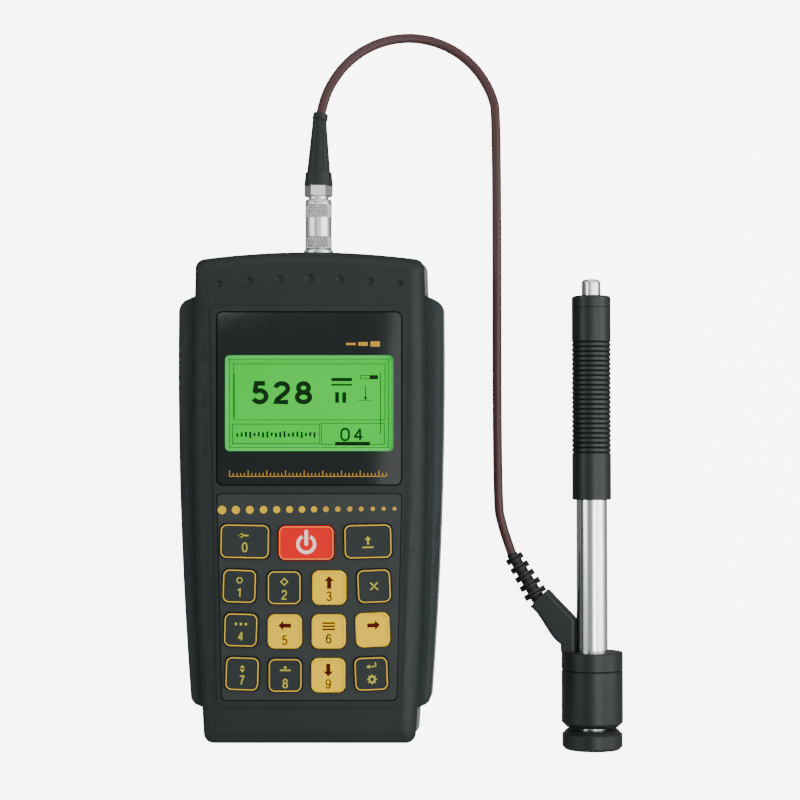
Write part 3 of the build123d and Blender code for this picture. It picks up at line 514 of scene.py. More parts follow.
@dataclass(frozen=True)
class PrintPlane:
    """A flat place that takes printed symbols: its origin in millimetres and turn in degrees."""

    x: float
    y: float
    z: float
    turn: float = 0.0
    film: float = 0.03
    layer: float = 0.006

    def lift(self, outline: Sequence[Point], holes: Sequence[Sequence[Point]] = ()) -> Mesh:
        """Turns a flat outline into a thin film of ink.

        Args:
            outline: Corners in millimetres about the plane's origin.
            holes: Outlines that are cut out.

        Returns:
            The film as a mesh in the row frame.
        """
        curve = bpy.data.curves.new("film", "CURVE")
        curve.dimensions = "2D"
        curve.fill_mode = "BOTH"
        curve.extrude = self.film * MM / 2
        for ring in (outline, *holes):
            spline = curve.splines.new("POLY")
            spline.points.add(len(ring) - 1)
            for point, corner in zip(spline.points, ring):
                point.co = (corner[0] * MM, corner[1] * MM, 0.0, 1.0)
            spline.use_cyclic_u = True
        holder = add_object("holder", curve)
        bpy.context.view_layer.update()
        graph = bpy.context.evaluated_depsgraph_get()
        mesh = bpy.data.meshes.new_from_object(holder.evaluated_get(graph))
        bpy.data.objects.remove(holder)
        mesh.transform(self._place(self.film / 2))
        return mesh

    def write(self, digit: str, height: float, stroke: float, width: float) -> Mesh:
        """Writes a plain digit, centred on the plane's origin.

        Args:
            digit: The digit.
            height: Its height in millimetres.
            stroke: Width of its lines in millimetres.
            width: Width between its outer lines against the height between them.

        Returns:
            The film as a mesh in the row frame.
        """
        tall = height - stroke
        wide = tall * width
        form = bmesh.new()
        for layer, (line, closed) in enumerate(digit_lines(digit)):
            points = [(x * wide / DIGIT_WIDTH - wide / 2, (y - 0.5) * tall) for x, y in line]
            self._ribbon(form, points, stroke, closed, self.film + self.layer * layer)
        mesh = bpy.data.meshes.new("digits")
        form.to_mesh(mesh)
        form.free()
        mesh.transform(self._place(0.0))
        return mesh

    def _ribbon(self, form: bmesh.types.BMesh, line: Sequence[Point], width: float, closed: bool,
                film: float) -> None:
        """Adds a flat line of ink with upright edges to a form.

        Args:
            form: The form that takes it.
            line: The line's middle, in millimetres.
            width: The line's width.
            closed: Whether its end joins its start.
            film: Thickness of the ink.
        """
        count = len(line)
        sides: list[list[bmesh.types.BMVert]] = []
        for number, (x, y) in enumerate(line):
            before = line[number - 1] if number or closed else (x, y)
            after = line[(number + 1) % count] if number < count - 1 or closed else (x, y)
            normals = []
            for start, end in ((before, (x, y)), ((x, y), after)):
                run = math.hypot(end[0] - start[0], end[1] - start[1])
                if run > 1e-9:
                    normals.append(((start[1] - end[1]) / run, (end[0] - start[0]) / run))
            normal_x = sum(normal[0] for normal in normals)
            normal_y = sum(normal[1] for normal in normals)
            square = max(normal_x ** 2 + normal_y ** 2, SHARPEST_BEND * len(normals) ** 2)
            reach = width / 2 * len(normals) / square
            sides.append([
                form.verts.new(Vector((x + side * normal_x * reach, y + side * normal_y * reach, z)) * MM)
                for side, z in ((1, 0.0), (1, film), (-1, film), (-1, 0.0))])
        pairs = list(zip(sides, sides[1:])) + ([(sides[-1], sides[0])] if closed else [])
        for first, second in pairs:
            for corner in range(3):
                form.faces.new((first[corner], first[corner + 1], second[corner + 1], second[corner]))
        if not closed:
            form.faces.new(sides[0])
            form.faces.new(list(reversed(sides[-1])))

    def _place(self, lift: float) -> Matrix:
        """Matrix that takes the plane's own millimetre drawing to the row frame."""
        return (Matrix.Translation(Vector((self.x, self.y, self.z + lift)) * MM)
                @ Matrix.Rotation(math.radians(self.turn), 4, "Z"))


def bar(width: float, height: float) -> list[Point]:
    """Corners of an upright rectangle, about its middle."""
    x, y = width / 2, height / 2
    return [(-x, -y), (x, -y), (x, y), (-x, y)]


def disc(radius: float, corners: int = 40) -> list[Point]:
    """Corners of a round outline, about its middle."""
    angles = [2 * math.pi * step / corners for step in range(corners)]
    return [(radius * math.cos(angle), radius * math.sin(angle)) for angle in angles]


def turned(points: Sequence[Point], degrees: float) -> list[Point]:
    """Turns corners about the origin."""
    angle = math.radians(degrees)
    return [(x * math.cos(angle) - y * math.sin(angle), x * math.sin(angle) + y * math.cos(angle))
            for x, y in points]


def rounded(width: float, height: float, corner: float, steps: int = 10) -> list[Point]:
    """Corners of a rectangle with round corners, about its middle."""
    points = []
    for quarter, (side_x, side_y) in enumerate(((1, 1), (-1, 1), (-1, -1), (1, -1))):
        middle_x = side_x * (width / 2 - corner)
        middle_y = side_y * (height / 2 - corner)
        for step in range(steps + 1):
            angle = math.pi / 2 * (quarter + step / steps)
            points.append((middle_x + corner * math.cos(angle), middle_y + corner * math.sin(angle)))
    return points


def arrow(length: float, head_width: float, head_length: float, shaft: float) -> list[Point]:
    """Corners of a block arrow that points up, about its middle."""
    tip = length / 2
    neck = tip - head_length
    return [(-shaft / 2, -tip), (shaft / 2, -tip), (shaft / 2, neck), (head_width / 2, neck), (0.0, tip),
            (-head_width / 2, neck), (-shaft / 2, neck)]


@dataclass(frozen=True)
class Mark:
    """One printed symbol: an outline with its holes, or a digit, at its place in millimetres."""

    x: float
    y: float
    outline: Sequence[Point] = ()
    holes: Sequence[Sequence[Point]] = ()
    digit: str = ""
    height: float = 3.1
    stroke: float = 0.4
    width: float = DIGIT_WIDTH

    def film(self, plane: PrintPlane) -> Mesh:
        """Makes the mark's film of ink on a plane."""
        if self.digit:
            return plane.write(self.digit, self.height, self.stroke, self.width)
        return plane.lift(self.outline, self.holes)


def digit_mark(digit: str, y: float) -> Mark:
    """A plain digit on a key."""
    return Mark(0.0, y, digit=digit)


def frame_mark(width: float, height: float, x: float, y: float, line: float = 0.16) -> Mark:
    """A rectangular line frame."""
    return Mark(x, y, bar(width, height), [bar(width - 2 * line, height - 2 * line)])


@dataclass(frozen=True)
class KeyPlace:
    """Where one key cap is, which finish it has and what is printed on it."""

    node: str
    x: float
    y: float
    turn: float
    cap: str
    ink: str
    marks: tuple[Mark, ...]


@dataclass
class Keypad:
    """The keypad plate, its fifteen caps, their printed symbols and the row of gold dots."""

    finishes: Finishes
    dish_z: float = 35.05
    plate_z: float = 34.3
    rim_z: float = 35.28
    line: float = 0.36
    middle_x: float = -0.75
    column_pitch: float = 14.4
    column_closing: float = 0.3
    column_turns: tuple[float, ...] = (-1.8, 0.0, 0.0, 2.4)
    first_row_y: float = -28.1
    row_pitch: float = 14.05
    inner_drop: float = 0.5
    wide_keys: tuple[tuple[str, float, float, float], ...] = (
        ("key_delete_0", -20.6, -13.75, -0.9), ("key_power", -0.9, -14.25, 0.0),
        ("key_store", 18.9, -13.75, 1.2),
    )
    key_rows: tuple[tuple[str, ...], ...] = (
        ("key_1", "key_2", "key_3_up", "key_escape"), ("key_4", "key_5_left", "key_6_menu", "key_right"),
        ("key_7", "key_8", "key_9_down", "key_enter"),
    )
    yellow_keys: tuple[str, ...] = ("key_3_up", "key_5_left", "key_6_menu", "key_right", "key_9_down")
    dot_x: tuple[float, ...] = (-27.9858, -23.5225, -19.0592, -14.6601, -10.4216, -6.2794, -2.2978, 1.5875,
                                5.3765, 9.1976, 13.0508, 16.7113, 20.4682, 23.9361, 27.404)
    dot_row_y: Point = (-3.72, -3.28)
    dot_sizes: Point = (2.7, 1.2)
    bright_dots: int = 8

    def symbol_marks(self) -> dict[str, tuple[Mark, ...]]:
        """What is printed on each key: plain digits and generic signs only."""
        line = self.line
        sun = []
        for spike in range(16):
            reach = 1.05 * (1.65 if spike % 2 == 0 else 1.0)
            angle = math.pi * spike / 8 + math.pi / 2
            sun.append((reach * math.cos(angle), reach * math.sin(angle)))
        power_ring = (sweep_line(0.0, 0.0, 3.2, 3.2, 118.0, 422.0, 40)
                      + sweep_line(0.0, 0.0, 2.15, 2.15, 422.0, 118.0, 40))
        block = arrow(4.1, 3.1, 1.6, 1.3)
        short = arrow(1.5, 1.5, 1.0, 0.3)
        stripe = bar(4.0, 0.5)
        dot = disc(0.42)
        return {
            "key_delete_0": (digit_mark("0", -1.9), Mark(-0.35, 1.9, bar(3.0, line * 1.4)),
                             Mark(-1.7, 1.9, ((0.9, -0.85), (0.9, 0.85), (-0.5, 0.0)))),
            "key_power": (Mark(0.0, -0.35, power_ring), Mark(0.0, 1.65, rounded(1.15, 5.1, 0.5))),
            "key_store": (Mark(0.0, 0.35, arrow(2.6, 2.0, 1.1, 0.6)[::-1]), Mark(0.0, -1.9, bar(3.6, 0.42))),
            "key_1": (digit_mark("1", -2.0),
                      Mark(0.0, 1.9, disc(1.1, corners=6), [disc(1.1 - line, corners=6)])),
            "key_2": (digit_mark("2", -2.3),
                      Mark(0.0, 1.9, turned(bar(1.9, 1.9), 45),
                           [turned(bar(1.9 - 2 * line, 1.9 - 2 * line), 45)])),
            "key_3_up": (Mark(0.0, 1.7, block), digit_mark("3", -2.75)),
            "key_escape": tuple(Mark(0.0, 0.0, turned(bar(3.4, 0.42), degrees)) for degrees in (45, -45)),
            "key_4": (digit_mark("4", -2.0), *(Mark(x, 1.9, dot) for x in (-1.6, 0.0, 1.6))),
            "key_5_left": (Mark(0.0, 1.9, turned(block, 90)), digit_mark("5", -2.75)),
            "key_6_menu": (*(Mark(0.0, y, stripe) for y in (2.7, 1.7, 0.7)), digit_mark("6", -2.3)),
            "key_right": (Mark(0.35, 1.5, turned(block, -90)),),
            "key_7": (digit_mark("7", -2.1), Mark(0.0, 2.1, short), Mark(0.0, 1.15, turned(short, 180))),
            "key_8": (digit_mark("8", -2.6), Mark(0.0, 1.6, bar(3.4, line * 1.3)),
                      Mark(0.0, 2.5, disc(0.45))),
            "key_9_down": (Mark(0.0, 1.7, turned(block, 180)), digit_mark("9", -2.75)),
            "key_enter": (Mark(0.5, 2.3, bar(2.2, line)), Mark(1.5, 2.9, bar(line, 1.4)),
                          Mark(-0.9, 2.3, ((0.5, -0.7), (0.5, 0.7), (-0.6, 0.0))),
                          Mark(0.2, -1.8, sun, [disc(0.62, corners=24)])),
        }

    def places(self) -> list[KeyPlace]:
        """Lists the fifteen keys with their places and finishes."""
        signs = self.symbol_marks()
        rows = list(self.wide_keys)
        for row, names in enumerate(self.key_rows):
            pitch = self.column_pitch - self.column_closing * row
            for column, node in enumerate(names):
                turn = self.column_turns[column]
                drop = 0.0 if turn else self.inner_drop
                rows.append((node, self.middle_x + (column - 1.5) * pitch,
                             self.first_row_y - self.row_pitch * row - drop, turn))
        places = []
        for node, x, y, turn in rows:
            cap, ink = "dark_rubber", "gold_ink"
            if node in self.yellow_keys:
                cap, ink = "yellow_rubber", "maroon_ink"
            elif node == "key_power":
                cap, ink = "red_rubber", "white_ink"
            places.append(KeyPlace(node, x, y, turn, cap, ink, signs[node]))
        return places

    def print_mark(self, place: KeyPlace, mark: Mark) -> Mesh:
        """Makes the film of one mark on its key."""
        (across, along), = turned([(mark.x, mark.y)], place.turn)
        return mark.film(PrintPlane(place.x + across, place.y + along, self.dish_z, place.turn))

    def dress_cap(self, place: KeyPlace) -> None:
        """Gives a cap its rubber and its raised rim the printed colour of the outline."""
        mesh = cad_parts[place.node].data
        rim = {"yellow_rubber": "yellow_rubber", "red_rubber": "amber_rim"}.get(place.cap, "gold_rim")
        mesh.materials.clear()
        mesh.materials.append(self.finishes[place.cap])
        mesh.materials.append(self.finishes[rim])
        for face in mesh.polygons:
            face.material_index = 1 if face.center.z > self.rim_z * MM else 0

    def print_dots(self) -> None:
        """Prints the row of gold dots, which grow smaller and paler from left to right."""
        last = len(self.dot_x) - 1
        for number, x in enumerate(self.dot_x):
            share = number / last
            radius = (self.dot_sizes[0] + (self.dot_sizes[1] - self.dot_sizes[0]) * share) / 2
            y = self.dot_row_y[0] + (self.dot_row_y[1] - self.dot_row_y[0]) * share
            mesh = PrintPlane(x, y, self.plate_z).lift(disc(radius))
            ink = "gold_dot_ink" if number < self.bright_dots else "pale_dot_ink"
            shape_object(f"keypad_dot_{number + 1}", mesh, [self.finishes[ink]], "tester")
        LOG.info("keypad plate with %d dots", len(self.dot_x))

    def build(self) -> None:
        """Dresses the plate and caps, and prints every symbol and dot."""
        self.finishes.coat({"keypad_plate": ["keypad_panel"]})
        for place in self.places():
            self.dress_cap(place)
            for number, mark in enumerate(place.marks):
                mesh = self.print_mark(place, mark)
                shape_object(f"{place.node}_sign_{number}", mesh, [self.finishes[place.ink]],
                             place.node + "_cap")
            LOG.info("%s dressed, %d signs", place.node, len(place.marks))
        self.print_dots()


@dataclass
class Display:
    """The display: its black window, the lit glass and what it shows."""

    finishes: Finishes
    glass_z: float = 32.4
    window_z: float = 34.0
    film: float = 0.02
    digit_width: float = 0.68

    def shown_marks(self) -> list[Mark]:
        """What the glass shows: line frames, plain digits and generic signs, in the row's millimetres."""
        marks = [
            frame_mark(51.4, 28.6, -0.15, 30.55), frame_mark(48.9, 18.2, -0.05, 34.2),
            frame_mark(28.2, 6.4, -10.75, 20.7), frame_mark(20.4, 6.9, 14.0, 20.7),
            Mark(22.9, 30.5, bar(0.2, 20.0)), Mark(-24.2, 33.0, bar(0.2, 14.0)),
        ]
        marks += [Mark(x, 33.95, digit=digit, height=7.5, stroke=1.5, width=self.digit_width)
                  for digit, x in (("5", -15.95), ("2", -8.9), ("8", -1.9))]
        marks += [
            Mark(10.4, 38.2, bar(6.6, 1.0)), Mark(10.4, 36.5, bar(6.6, 0.5)),
            Mark(8.9, 32.4, bar(1.2, 3.4)), Mark(11.2, 32.4, bar(1.2, 3.4)),
            frame_mark(5.7, 1.25, 19.2, 38.95, line=0.18), Mark(20.7, 38.95, bar(2.7, 1.25)),
            Mark(18.05, 33.9, turned(arrow(4.7, 1.1, 1.0, 0.22), 180)), Mark(18.0, 31.5, bar(4.5, 0.14)),
        ]
        marks += [Mark(-23.2 + step * 1.38, 20.35 + 0.12 * (step % 3), bar(0.62, 1.1 + 0.3 * (step % 4)))
                  for step in range(19)]
        marks += [Mark(x, 20.5, digit=digit, height=4.3, stroke=0.6, width=self.digit_width)
                  for digit, x in (("0", 11.5), ("4", 15.75))]
        marks.append(Mark(13.9, 17.55, bar(11.2, 1.15)))
        return marks

    def window_marks(self) -> list[Mark]:
        """Plain gold print on the window: a graduated rule below the glass and three bars above it."""
        rule_y = 7.05
        marks = [Mark(-0.4, rule_y, bar(50.4, 0.22))]
        for step in range(43):
            height = 1.9 if step % 5 == 0 else 1.1
            marks.append(Mark(-25.6 + step * 1.2, rule_y + height / 2, bar(0.26, height)))
        marks += [Mark(13.4 + 3.9 * step, 49.6, bar(3.0, 0.7 + 0.5 * step)) for step in range(3)]
        return marks

    def print_marks(self, name: str, marks: Sequence[Mark], z: float, ink: str) -> None:
        """Prints marks at a height.

        Args:
            name: Start of the pieces' names.
            marks: The marks.
            z: The height in millimetres.
            ink: The ink.
        """
        for number, mark in enumerate(marks):
            mesh = mark.film(PrintPlane(mark.x, mark.y, z, film=self.film))
            shape_object(f"{name}_{number + 1}", mesh, [self.finishes[ink]], "tester")
        LOG.info("%s: %d printed", name, len(marks))

    def build(self) -> None:
        """Dresses window, glass and backlight, and draws what is shown."""
        self.finishes.coat({"black_acrylic": ["display_window"], "lit_glass": ["lcd_panel"],
                            "white_moulding": ["lcd_backlight"]})
        self.print_marks("window_sign", self.window_marks(), self.window_z, "window_gold_ink")
        self.print_marks("display_sign", self.shown_marks(), self.glass_z, "crystal_dark")


@dataclass
class Handset:
    """The case, its grips and what is inside it."""

    finishes: Finishes
    groove_foot: float = 12.0
    groove_slope: float = 0.3

    def paint_light_on_groove(self, node: str, side: float) -> None:
        """Paints light onto the slope of the groove between a grip and the case: a lighter tone that stands
        in for the light the shaded groove does not get.

        Args:
            node: The grip's CAD node.
            side: The grip's side, -1 for left and 1 for right.
        """
        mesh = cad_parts[node].data
        # Painted light: a lighter rubber on the groove's sloping faces, where the real groove lies in shade.
        mesh.materials.append(self.finishes["groove_painted_light"])
        for face in mesh.polygons:
            sloped = -side * face.normal.x > self.groove_slope
            face.material_index = 1 if sloped and face.center.z > self.groove_foot * MM else 0

    def build(self) -> None:
        """Dresses the handset's CAD nodes."""
        self.finishes.coat({
            "case_abs": ["front_shell"],
            "rear_abs": ["rear_shell", "battery_door"],
            "grip_rubber": ["side_grip_left", "side_grip_right"],
            "mat_rubber": ["key_mat"],
            "board_laminate": ["main_board"],
            "black_moulding": ["buzzer"],
            "satin_nickel": ["panel_socket", "socket_nut"],
            "cell_jacket": ["battery_cell_1", "battery_cell_2"],
            "bright_steel": ["contact_bridge", "contact_positive", "contact_negative"],
            "zinc_screw": ["case_screws"],
        })
        # Painted light on the shaded grooves beside both grips.
        self.paint_light_on_groove("side_grip_left", -1.0)
        self.paint_light_on_groove("side_grip_right", 1.0)
        LOG.info("handset dressed")


@dataclass
class Plug:
    """The round plug: knurled release sleeve, clamp nut and ribbed boot."""

    finishes: Finishes
    axis_x: float = 2.4
    axis_z: float = 19.0
    sleeve_start: float = 81.1
    sleeve_length: float = 16.3
    sleeve_radius: float = 4.45
    sleeve_bore: float = 3.36
    knurl_teeth: int = 34
    knurl_depth: float = 0.36
    knurl_gain: float = 1.3
    knurl_bands: tuple[Point, ...] = ((0.3, 4.0), (10.4, 14.5))
    valley_depth: float = 0.31
    ring_depth: float = 0.16
    ring_step: float = 0.12

    def axis_place(self, y: float) -> Matrix:
        """Matrix that lays the local Z axis along the plug, from a height on the row's Y axis."""
        return (Matrix.Translation(Vector((self.axis_x, y, self.axis_z)) * MM)
                @ Matrix.Rotation(-math.pi / 2, 4, "X"))

    def is_knurled(self, height: float) -> bool:
        """Whether a height on the sleeve is in one of its knurled bands."""
        return any(start < height < end for start, end in self.knurl_bands)

    def knurl(self, angle: float, height: float) -> float:
        """Change of the sleeve's radius by its diamond knurl.

        Args:
            angle: Angle round the sleeve.
            height: Height along it in millimetres.

        Returns:
            The change in millimetres, nothing outside the knurled bands.
        """
        if not self.is_knurled(height):
            return 0.0
        turn = self.knurl_teeth * angle
        pitch = self.knurl_teeth * height / self.sleeve_radius
        wave = abs(math.sin((turn + pitch) / 2)) * abs(math.sin((turn - pitch) / 2))
        return -self.knurl_depth * (1 - wave) * self.knurl_gain

    def paint_valley_shade_and_oxide(self, sleeve: Mesh) -> None:
        """Paints shade, together with oxide, onto the foot of the knurl's diamonds: a darker finish on their
        deepest faces.
        """
        for face in sleeve.polygons:
            across, along, up = face.center / MM
            reach = math.hypot(across - self.axis_x, up - self.axis_z)
            deep = reach < self.sleeve_radius - self.valley_depth
            face.material_index = 1 if deep and self.is_knurled(along - self.sleeve_start) else 0

    def sleeve_profile(self) -> list[Point]:
        """Radius and height pairs along the release sleeve."""
        bore, rim, length = self.sleeve_bore, self.sleeve_radius, self.sleeve_length
        low = rim - self.ring_depth
        points = [(bore, 0.0), (rim - 0.3, 0.0), (rim, 0.3)]
        points += [(rim, 0.35 + self.ring_step * step) for step in range(30)]
        points += [(rim, 3.98), *((low, height) for height in (4.1, 4.2, 4.3, 10.05, 10.15, 10.25)),
                   (rim, 10.38)]
        points += [(rim, 10.45 + self.ring_step * step) for step in range(34)]
        points += [(rim, 14.55), *((low, height) for height in (14.7, 14.8, length - 0.35)),
                   (rim - 0.5, length), (bore, length)]
        return points

    def build(self) -> None:
        """Builds the knurled sleeve and dresses the rest of the plug."""
        sleeve = spun_mesh("knurled_sleeve", self.sleeve_profile(), self.axis_place(self.sleeve_start),
                           self.knurl, segments=self.knurl_teeth * 6)
        # The sleeve's second finish is darker: painted shade, with oxide, in the knurl's hollows.
        coats = [self.finishes["satin_nickel"], self.finishes["knurl_valley_shade_and_oxide"]]
        piece = shape_object("knurled_sleeve", sleeve, coats, "plug_sleeve")
        self.paint_valley_shade_and_oxide(sleeve)
        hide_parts("plug_release_sleeve")
        self.finishes.coat({"satin_nickel": ["plug_body", "plug_collet_nut"], "boot_rubber": ["plug_boot"]})
        LOG.info("plug with its knurled sleeve")


@dataclass
class Cord:
    """The short round cord from the plug's boot to the probe's relief."""

    finishes: Finishes
    route: tuple[Place, ...] = (
        (3.10, 125.60, 18.30), (3.93, 129.88, 17.60), (6.57, 136.45, 15.90), (11.41, 143.51, 12.70),
        (18.59, 149.43, 9.10), (27.43, 152.90, 5.80), (37.32, 153.34, 3.40), (47.15, 150.02, 2.05),
        (55.20, 143.37, 1.75), (60.25, 134.80, 1.70), (61.90, 127.15, 1.70), (61.90, -2.90, 1.70),
        (63.75, -11.00, 2.30), (65.95, -17.70, 3.25), (66.85, -20.20, 3.70),
    )
    diameter: float = 3.2
    length: float = 237.2

    def build(self) -> None:
        curve = bpy.data.curves.new("cord_line", "CURVE")
        curve.dimensions = "3D"
        curve.bevel_depth = self.diameter / 2 * MM
        curve.bevel_resolution = 6
        curve.resolution_u = 24
        curve.use_fill_caps = True
        spline = curve.splines.new("NURBS")
        spline.points.add(len(self.route) - 1)
        for point, place in zip(spline.points, self.route):
            point.co = (place[0] * MM, place[1] * MM, place[2] * MM, 1.0)
        spline.order_u = 3
        spline.use_endpoint_u = True
        curve.materials.append(self.finishes["cord_jacket"])
        piece = add_object("probe_cord", curve)
        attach(piece, "tester")
        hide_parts("cord")
        LOG.info("cord of %.0f mm", self.length)


@dataclass
class Probe:
    """The impact probe: its black anodised shells, chrome tube and inner steel."""

    finishes: Finishes
    axis: Place = (0.0, 0.99951119, -0.0312632)
    tail_end: Place = (66.85, -20.20, 3.70)
    tail_root: Place = (75.58, -35.12, 6.07)
    fin_first: float = 1.85
    fin_pitch: float = 3.34
    fin_count: int = 5
    web_radius: float = 2.55
    web_growth: float = 0.19
    web_half: float = 0.34

    def springing(self, node: str, body: str) -> None:
        """Copies a coil spring into a piece of its own that rides on a body, and hides its CAD node.

        Args:
            node: The spring's CAD node.
            body: The body that carries its seat.
        """
        coil = shape_object(node + "_coil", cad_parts[node].data.copy(), [], body)
        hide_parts(node)
        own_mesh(coil)

    def fin_webs(self) -> None:
        """Adds the thin dark web in the slot of each fin of the cable relief."""
        start, end = (Vector(point) * MM for point in (self.tail_end, self.tail_root))
        run = (end - start).normalized()
        turn = run.to_track_quat("Z", "Y").to_matrix().to_4x4()
        for fin in range(self.fin_count):
            name = f"relief_web_{fin + 1}"
            middle = start + run * (self.fin_first + fin * self.fin_pitch) * MM
            radius = self.web_radius + self.web_growth * fin
            web = spun_mesh(name, [(radius, -self.web_half), (radius, self.web_half)],
                            Matrix.Translation(middle) @ turn, lambda angle, height: 0.0, segments=40)
            shape_object(name, web, [self.finishes["black_moulding"]], "tester")

    def build(self) -> None:
        """Dresses the probe's CAD nodes, adds the relief's webs and gives the springs pieces of their own."""
        self.finishes.coat({
            "black_anodised": ["loading_sleeve", "sleeve_end_cap", "coil_body", "coil_collar",
                               "support_ring"],
            "chrome_tube": ["guide_tube"],
            "button_steel": ["release_button"],
            "bright_steel": ["release_pin", "button_spring", "catch_chuck", "loading_rod", "loading_spring",
                             "impact_body", "impact_spring"],
            "turned_brass": ["spring_seat"],
            "hard_metal": ["impact_ball"],
            "copper_wire": ["coil_winding"],
            "boot_rubber": ["cable_relief"],
        })
        self.fin_webs()
        self.springing("loading_spring", "tester")
        self.springing("button_spring", "loading_slide")
        LOG.info("probe dressed")


@dataclass(frozen=True)
class SoftBox:
    """An area light: its place and size in millimetres, its power in watts and its tone."""

    name: str
    place: Place
    size: Point
    power: float
    tone: str = "ffffff"

    def hang(self, target: Place) -> None:
        """Adds the light, turned to face a target in millimetres."""
        lamp = bpy.data.lights.new(self.name, "AREA")
        lamp.shape = "RECTANGLE"
        lamp.size, lamp.size_y = self.size[0] * MM, self.size[1] * MM
        lamp.energy = self.power
        lamp.color = linear(self.tone)[:3]
        holder = add_object(self.name, lamp)
        holder.location = Vector(self.place) * MM
        aim = Vector(target) * MM - holder.location
        holder.rotation_euler = aim.to_track_quat("-Z", "Y").to_euler()


@dataclass
class Studio:
    """The pale table, soft lights and the camera that looks straight down."""

    camera_place: Place = (29.17, 31.6, 670.0)
    picture_width: float = 266.67
    picture_height: float = 10.0
    sensor: float = 36.0
    target: Place = (29.0, 20.0, 10.0)
    table_half: float = 3000.0
    table_drop: float = 0.05
    table_glow: float = 7.0
    low_air: float = 1.4
    high_air: float = 0.4
    under_table: float = 0.2
    boxes: tuple[SoftBox, ...] = (
        SoftBox("right_box", (850.0, 100.0, 480.0), (480.0, 700.0), 4.3),
        SoftBox("left_box", (-800.0, 150.0, 600.0), (400.0, 600.0), 2.9, "fafcff"),
        SoftBox("top_box", (60.0, 950.0, 650.0), (900.0, 300.0), 3.5),
        SoftBox("window_card", (30.0, 32.0, 1000.0), (26.0, 200.0), 0.026),
        SoftBox("probe_card", (196.0, -10.0, 330.0), (300.0, 170.0), 0.8),
        SoftBox("plug_card", (-40.0, 270.0, 1000.0), (300.0, 290.0), 0.85),
    )

    def build_air(self) -> None:
        """Builds the studio's air: dim overhead, brighter low down and towards the right."""
        world = bpy.data.worlds.new("studio_air")
        world.use_nodes = True
        tree = world.node_tree
        tree.nodes.clear()
        look = add_node(tree, "ShaderNodeTexCoord").outputs["Generated"]
        split = add_node(tree, "ShaderNodeSeparateXYZ", links={"Vector": look})
        height = ramp(tree, split.outputs["Z"], (0.1, 0.95), (self.low_air, self.high_air))
        below = ramp(tree, split.outputs["Z"], (-0.35, 0.06), (self.under_table, 1.0))
        side = ramp(tree, split.outputs["X"], (-1.0, 1.0), (0.7, 1.3))
        level = compute(tree, "MULTIPLY", compute(tree, "MULTIPLY", height, side), below)
        air = add_node(tree, "ShaderNodeBackground", sockets={"Color": linear("f4f6f7")},
                       links={"Strength": level})
        add_node(tree, "ShaderNodeOutputWorld", links={"Surface": air.outputs["Background"]})
        bpy.context.scene.world = world

    def build_table(self) -> None:
        """Builds the white table, which glows a little but throws no light on the object."""
        table, tree, place = new_material("white_table")
        tone = blend(tree, noise(tree, place, 1.2, 3.0), "f4f5f5", "f7f8f8")
        add_shader(tree, {"Emission Strength": self.table_glow, "Roughness": 0.8},
                   {"Base Color": tone, "Emission Color": tone})
        mesh = bpy.data.meshes.new("table_top")
        half, low = self.table_half * MM, -self.table_drop * MM
        mesh.from_pydata([(-half, -half, low), (half, -half, low), (half, half, low), (-half, half, low)], [],
                         [(0, 1, 2, 3)])
        mesh.materials.append(table)
        floor = add_object("table_top", mesh)
        floor.visible_diffuse = False
        floor.visible_glossy = False

    def build_camera(self) -> None:
        """Builds the camera, whose picture has its named width at its named height above the table."""
        lens = bpy.data.cameras.new("photo_camera")
        lens.sensor_width = self.sensor
        lens.lens = self.sensor * (self.camera_place[2] - self.picture_height) / self.picture_width
        lens.clip_start = 0.01
        holder = add_object("photo_camera", lens)
        holder.location = Vector(self.camera_place) * MM
        bpy.context.scene.camera = holder

    def build(self) -> None:
        """Builds table, air, lights and camera."""
        self.build_table()
        self.build_air()
        for box in self.boxes:
            box.hang(self.target)
        self.build_camera()
        LOG.info("studio ready")


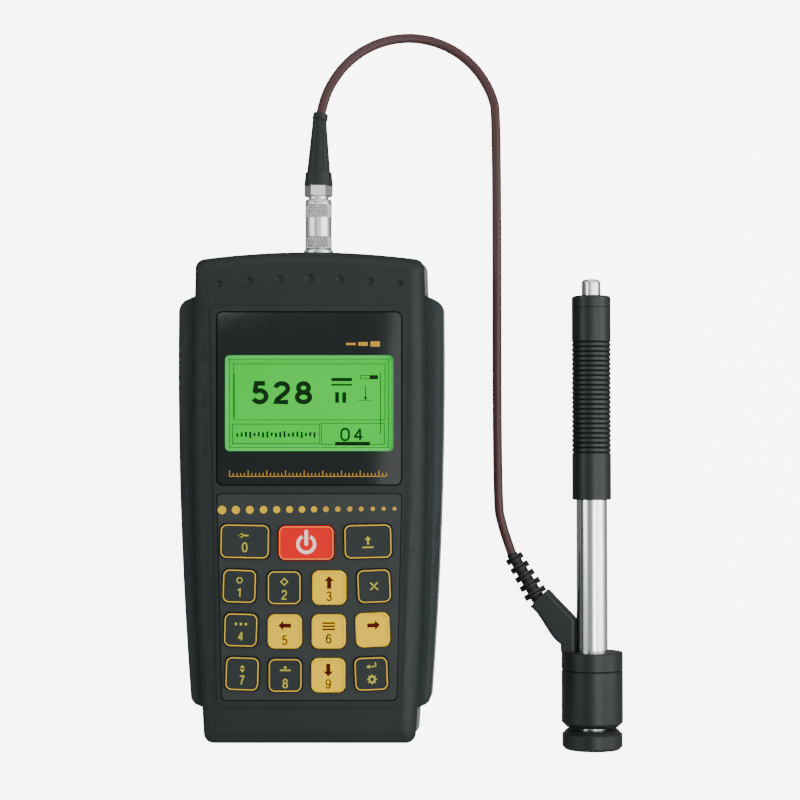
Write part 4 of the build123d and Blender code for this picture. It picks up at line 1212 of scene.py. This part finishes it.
def tester_finishes() -> Finishes:
    """All finishes of the tester."""
    return Finishes([
        # ABS moulded in a spark-eroded tool: charcoal, evenly matt with a fine sparkle of grain.
        MouldedFinish("case_abs", "141a1a", "1c2323", 0.55, grain_mm=0.45, grain_depth_mm=0.06,
                      specular=0.25),
        # Grey ABS of the rear shell, a little smoother.
        MouldedFinish("rear_abs", "6d726d", "777c76", 0.5, specular=0.4),
        # Thermoplastic rubber of the grips: the same charcoal, softer in its reflections.
        MouldedFinish("grip_rubber", "202727", "272e2e", 0.66, specular=0.2),
        # The same rubber, lighter: painted light on the groove beside the grip, which stands in for the light
        # that the shaded groove does not get.
        MouldedFinish("groove_painted_light", "465050", "4e5959", 0.66, specular=0.22),
        # Textured polyester plate under the keys.
        MouldedFinish("keypad_plate", "1e2424", "282e2d", 0.6, grain_mm=0.5, grain_depth_mm=0.07),
        # Silicone keys.
        MouldedFinish("dark_rubber", "1d2323", "242a29", 0.6, ior=1.42),
        MouldedFinish("yellow_rubber", "e2b800", "e5bc00", 0.7, ior=1.42, mottle=0.3,
                      grain_depth_mm=0.01, specular=0.05),
        MouldedFinish("red_rubber", "cf080d", "d40c12", 0.65, ior=1.42, mottle=0.3,
                      grain_depth_mm=0.01, specular=0.1),
        MouldedFinish("mat_rubber", "3c4040", "454949", 0.6),
        MouldedFinish("boot_rubber", "121617", "181d1d", 0.5, specular=0.33, grain_depth_mm=0.015),
        MouldedFinish("black_moulding", "151617", "1e2021", 0.45),
        MouldedFinish("white_moulding", "e4e9e1", "eef2ec", 0.5),
        MouldedFinish("board_laminate", "1d5a38", "246a43", 0.4, mottle_mm=3.0),
        MouldedFinish("cord_jacket", "3a1f21", "482d2f", 0.45, specular=0.3, grain_depth_mm=0.01),
        AcrylicFinish("black_acrylic", "0b1011", "121818", roughness=0.05),
        BacklitFinish("lit_glass", "01b022", "34c84a", 0.36, (0.0, 30.6), (27.05, 15.4)),
        MetalFinish("satin_nickel", "d6dad7", "c8ccc9", 0.32),
        # Darker grey at the foot of the knurl's diamonds: painted shade in the hollows, together with oxide
        # and cutting marks.
        MetalFinish("knurl_valley_shade_and_oxide", "727573", "636663", 0.5, Tooling.BLASTED),
        MetalFinish("chrome_tube", "eef2f0", "e6eae8", 0.16, Tooling.POLISHED, mark_depth_mm=0.001),
        MetalFinish("black_anodised", "141919", "1b2020", 0.38, metallic=0.25, specular=0.34),
        MetalFinish("button_steel", "d7d9d8", "c9cccb", 0.2),
        MetalFinish("bright_steel", "b9bcbd", "a8acad", 0.25),
        MetalFinish("zinc_screw", "a5a7a6", "8f9292", 0.35, Tooling.BLASTED),
        MetalFinish("cell_jacket", "aab0b4", "9aa0a5", 0.35, Tooling.BLASTED),
        MetalFinish("turned_brass", "c8a24c", "b8903a", 0.25),
        MetalFinish("copper_wire", "b0622c", "9c5322", 0.3, mark_mm=0.3),
        MetalFinish("hard_metal", "6f7479", "62676c", 0.08, Tooling.POLISHED),
        InkFinish("gold_ink", "b0ad38", "a09c30", 0.6, specular=0.1),
        InkFinish("gold_rim", "dcb61a", "cfa816", 0.55, specular=0.15),
        InkFinish("amber_rim", "f08a2c", "e67c20", 0.45),
        InkFinish("gold_dot_ink", "cfaa00", "c6a000", 0.6, specular=0.1),
        InkFinish("pale_dot_ink", "b8922c", "ae8824", 0.6, specular=0.1),
        InkFinish("maroon_ink", "4a0400", "3e0300", 0.6, specular=0.1),
        InkFinish("white_ink", "ffd8d0", "f8cac2", 0.5),
        InkFinish("window_gold_ink", "b98c20", "a87c1a", 0.5, specular=0.2),
        InkFinish("crystal_dark", "021f04", "042606", 0.5, specular=0.1),
    ])


def main() -> None:
    """Builds the studio and every sub-assembly in order."""
    logging.basicConfig(level=logging.INFO, format="%(name)s: %(message)s")
    finishes = tester_finishes()
    Studio().build()
    Plug(finishes).build()
    Cord(finishes).build()
    Handset(finishes).build()
    Display(finishes).build()
    Keypad(finishes).build()
    Probe(finishes).build()


if __name__ == "__main__":
    main()
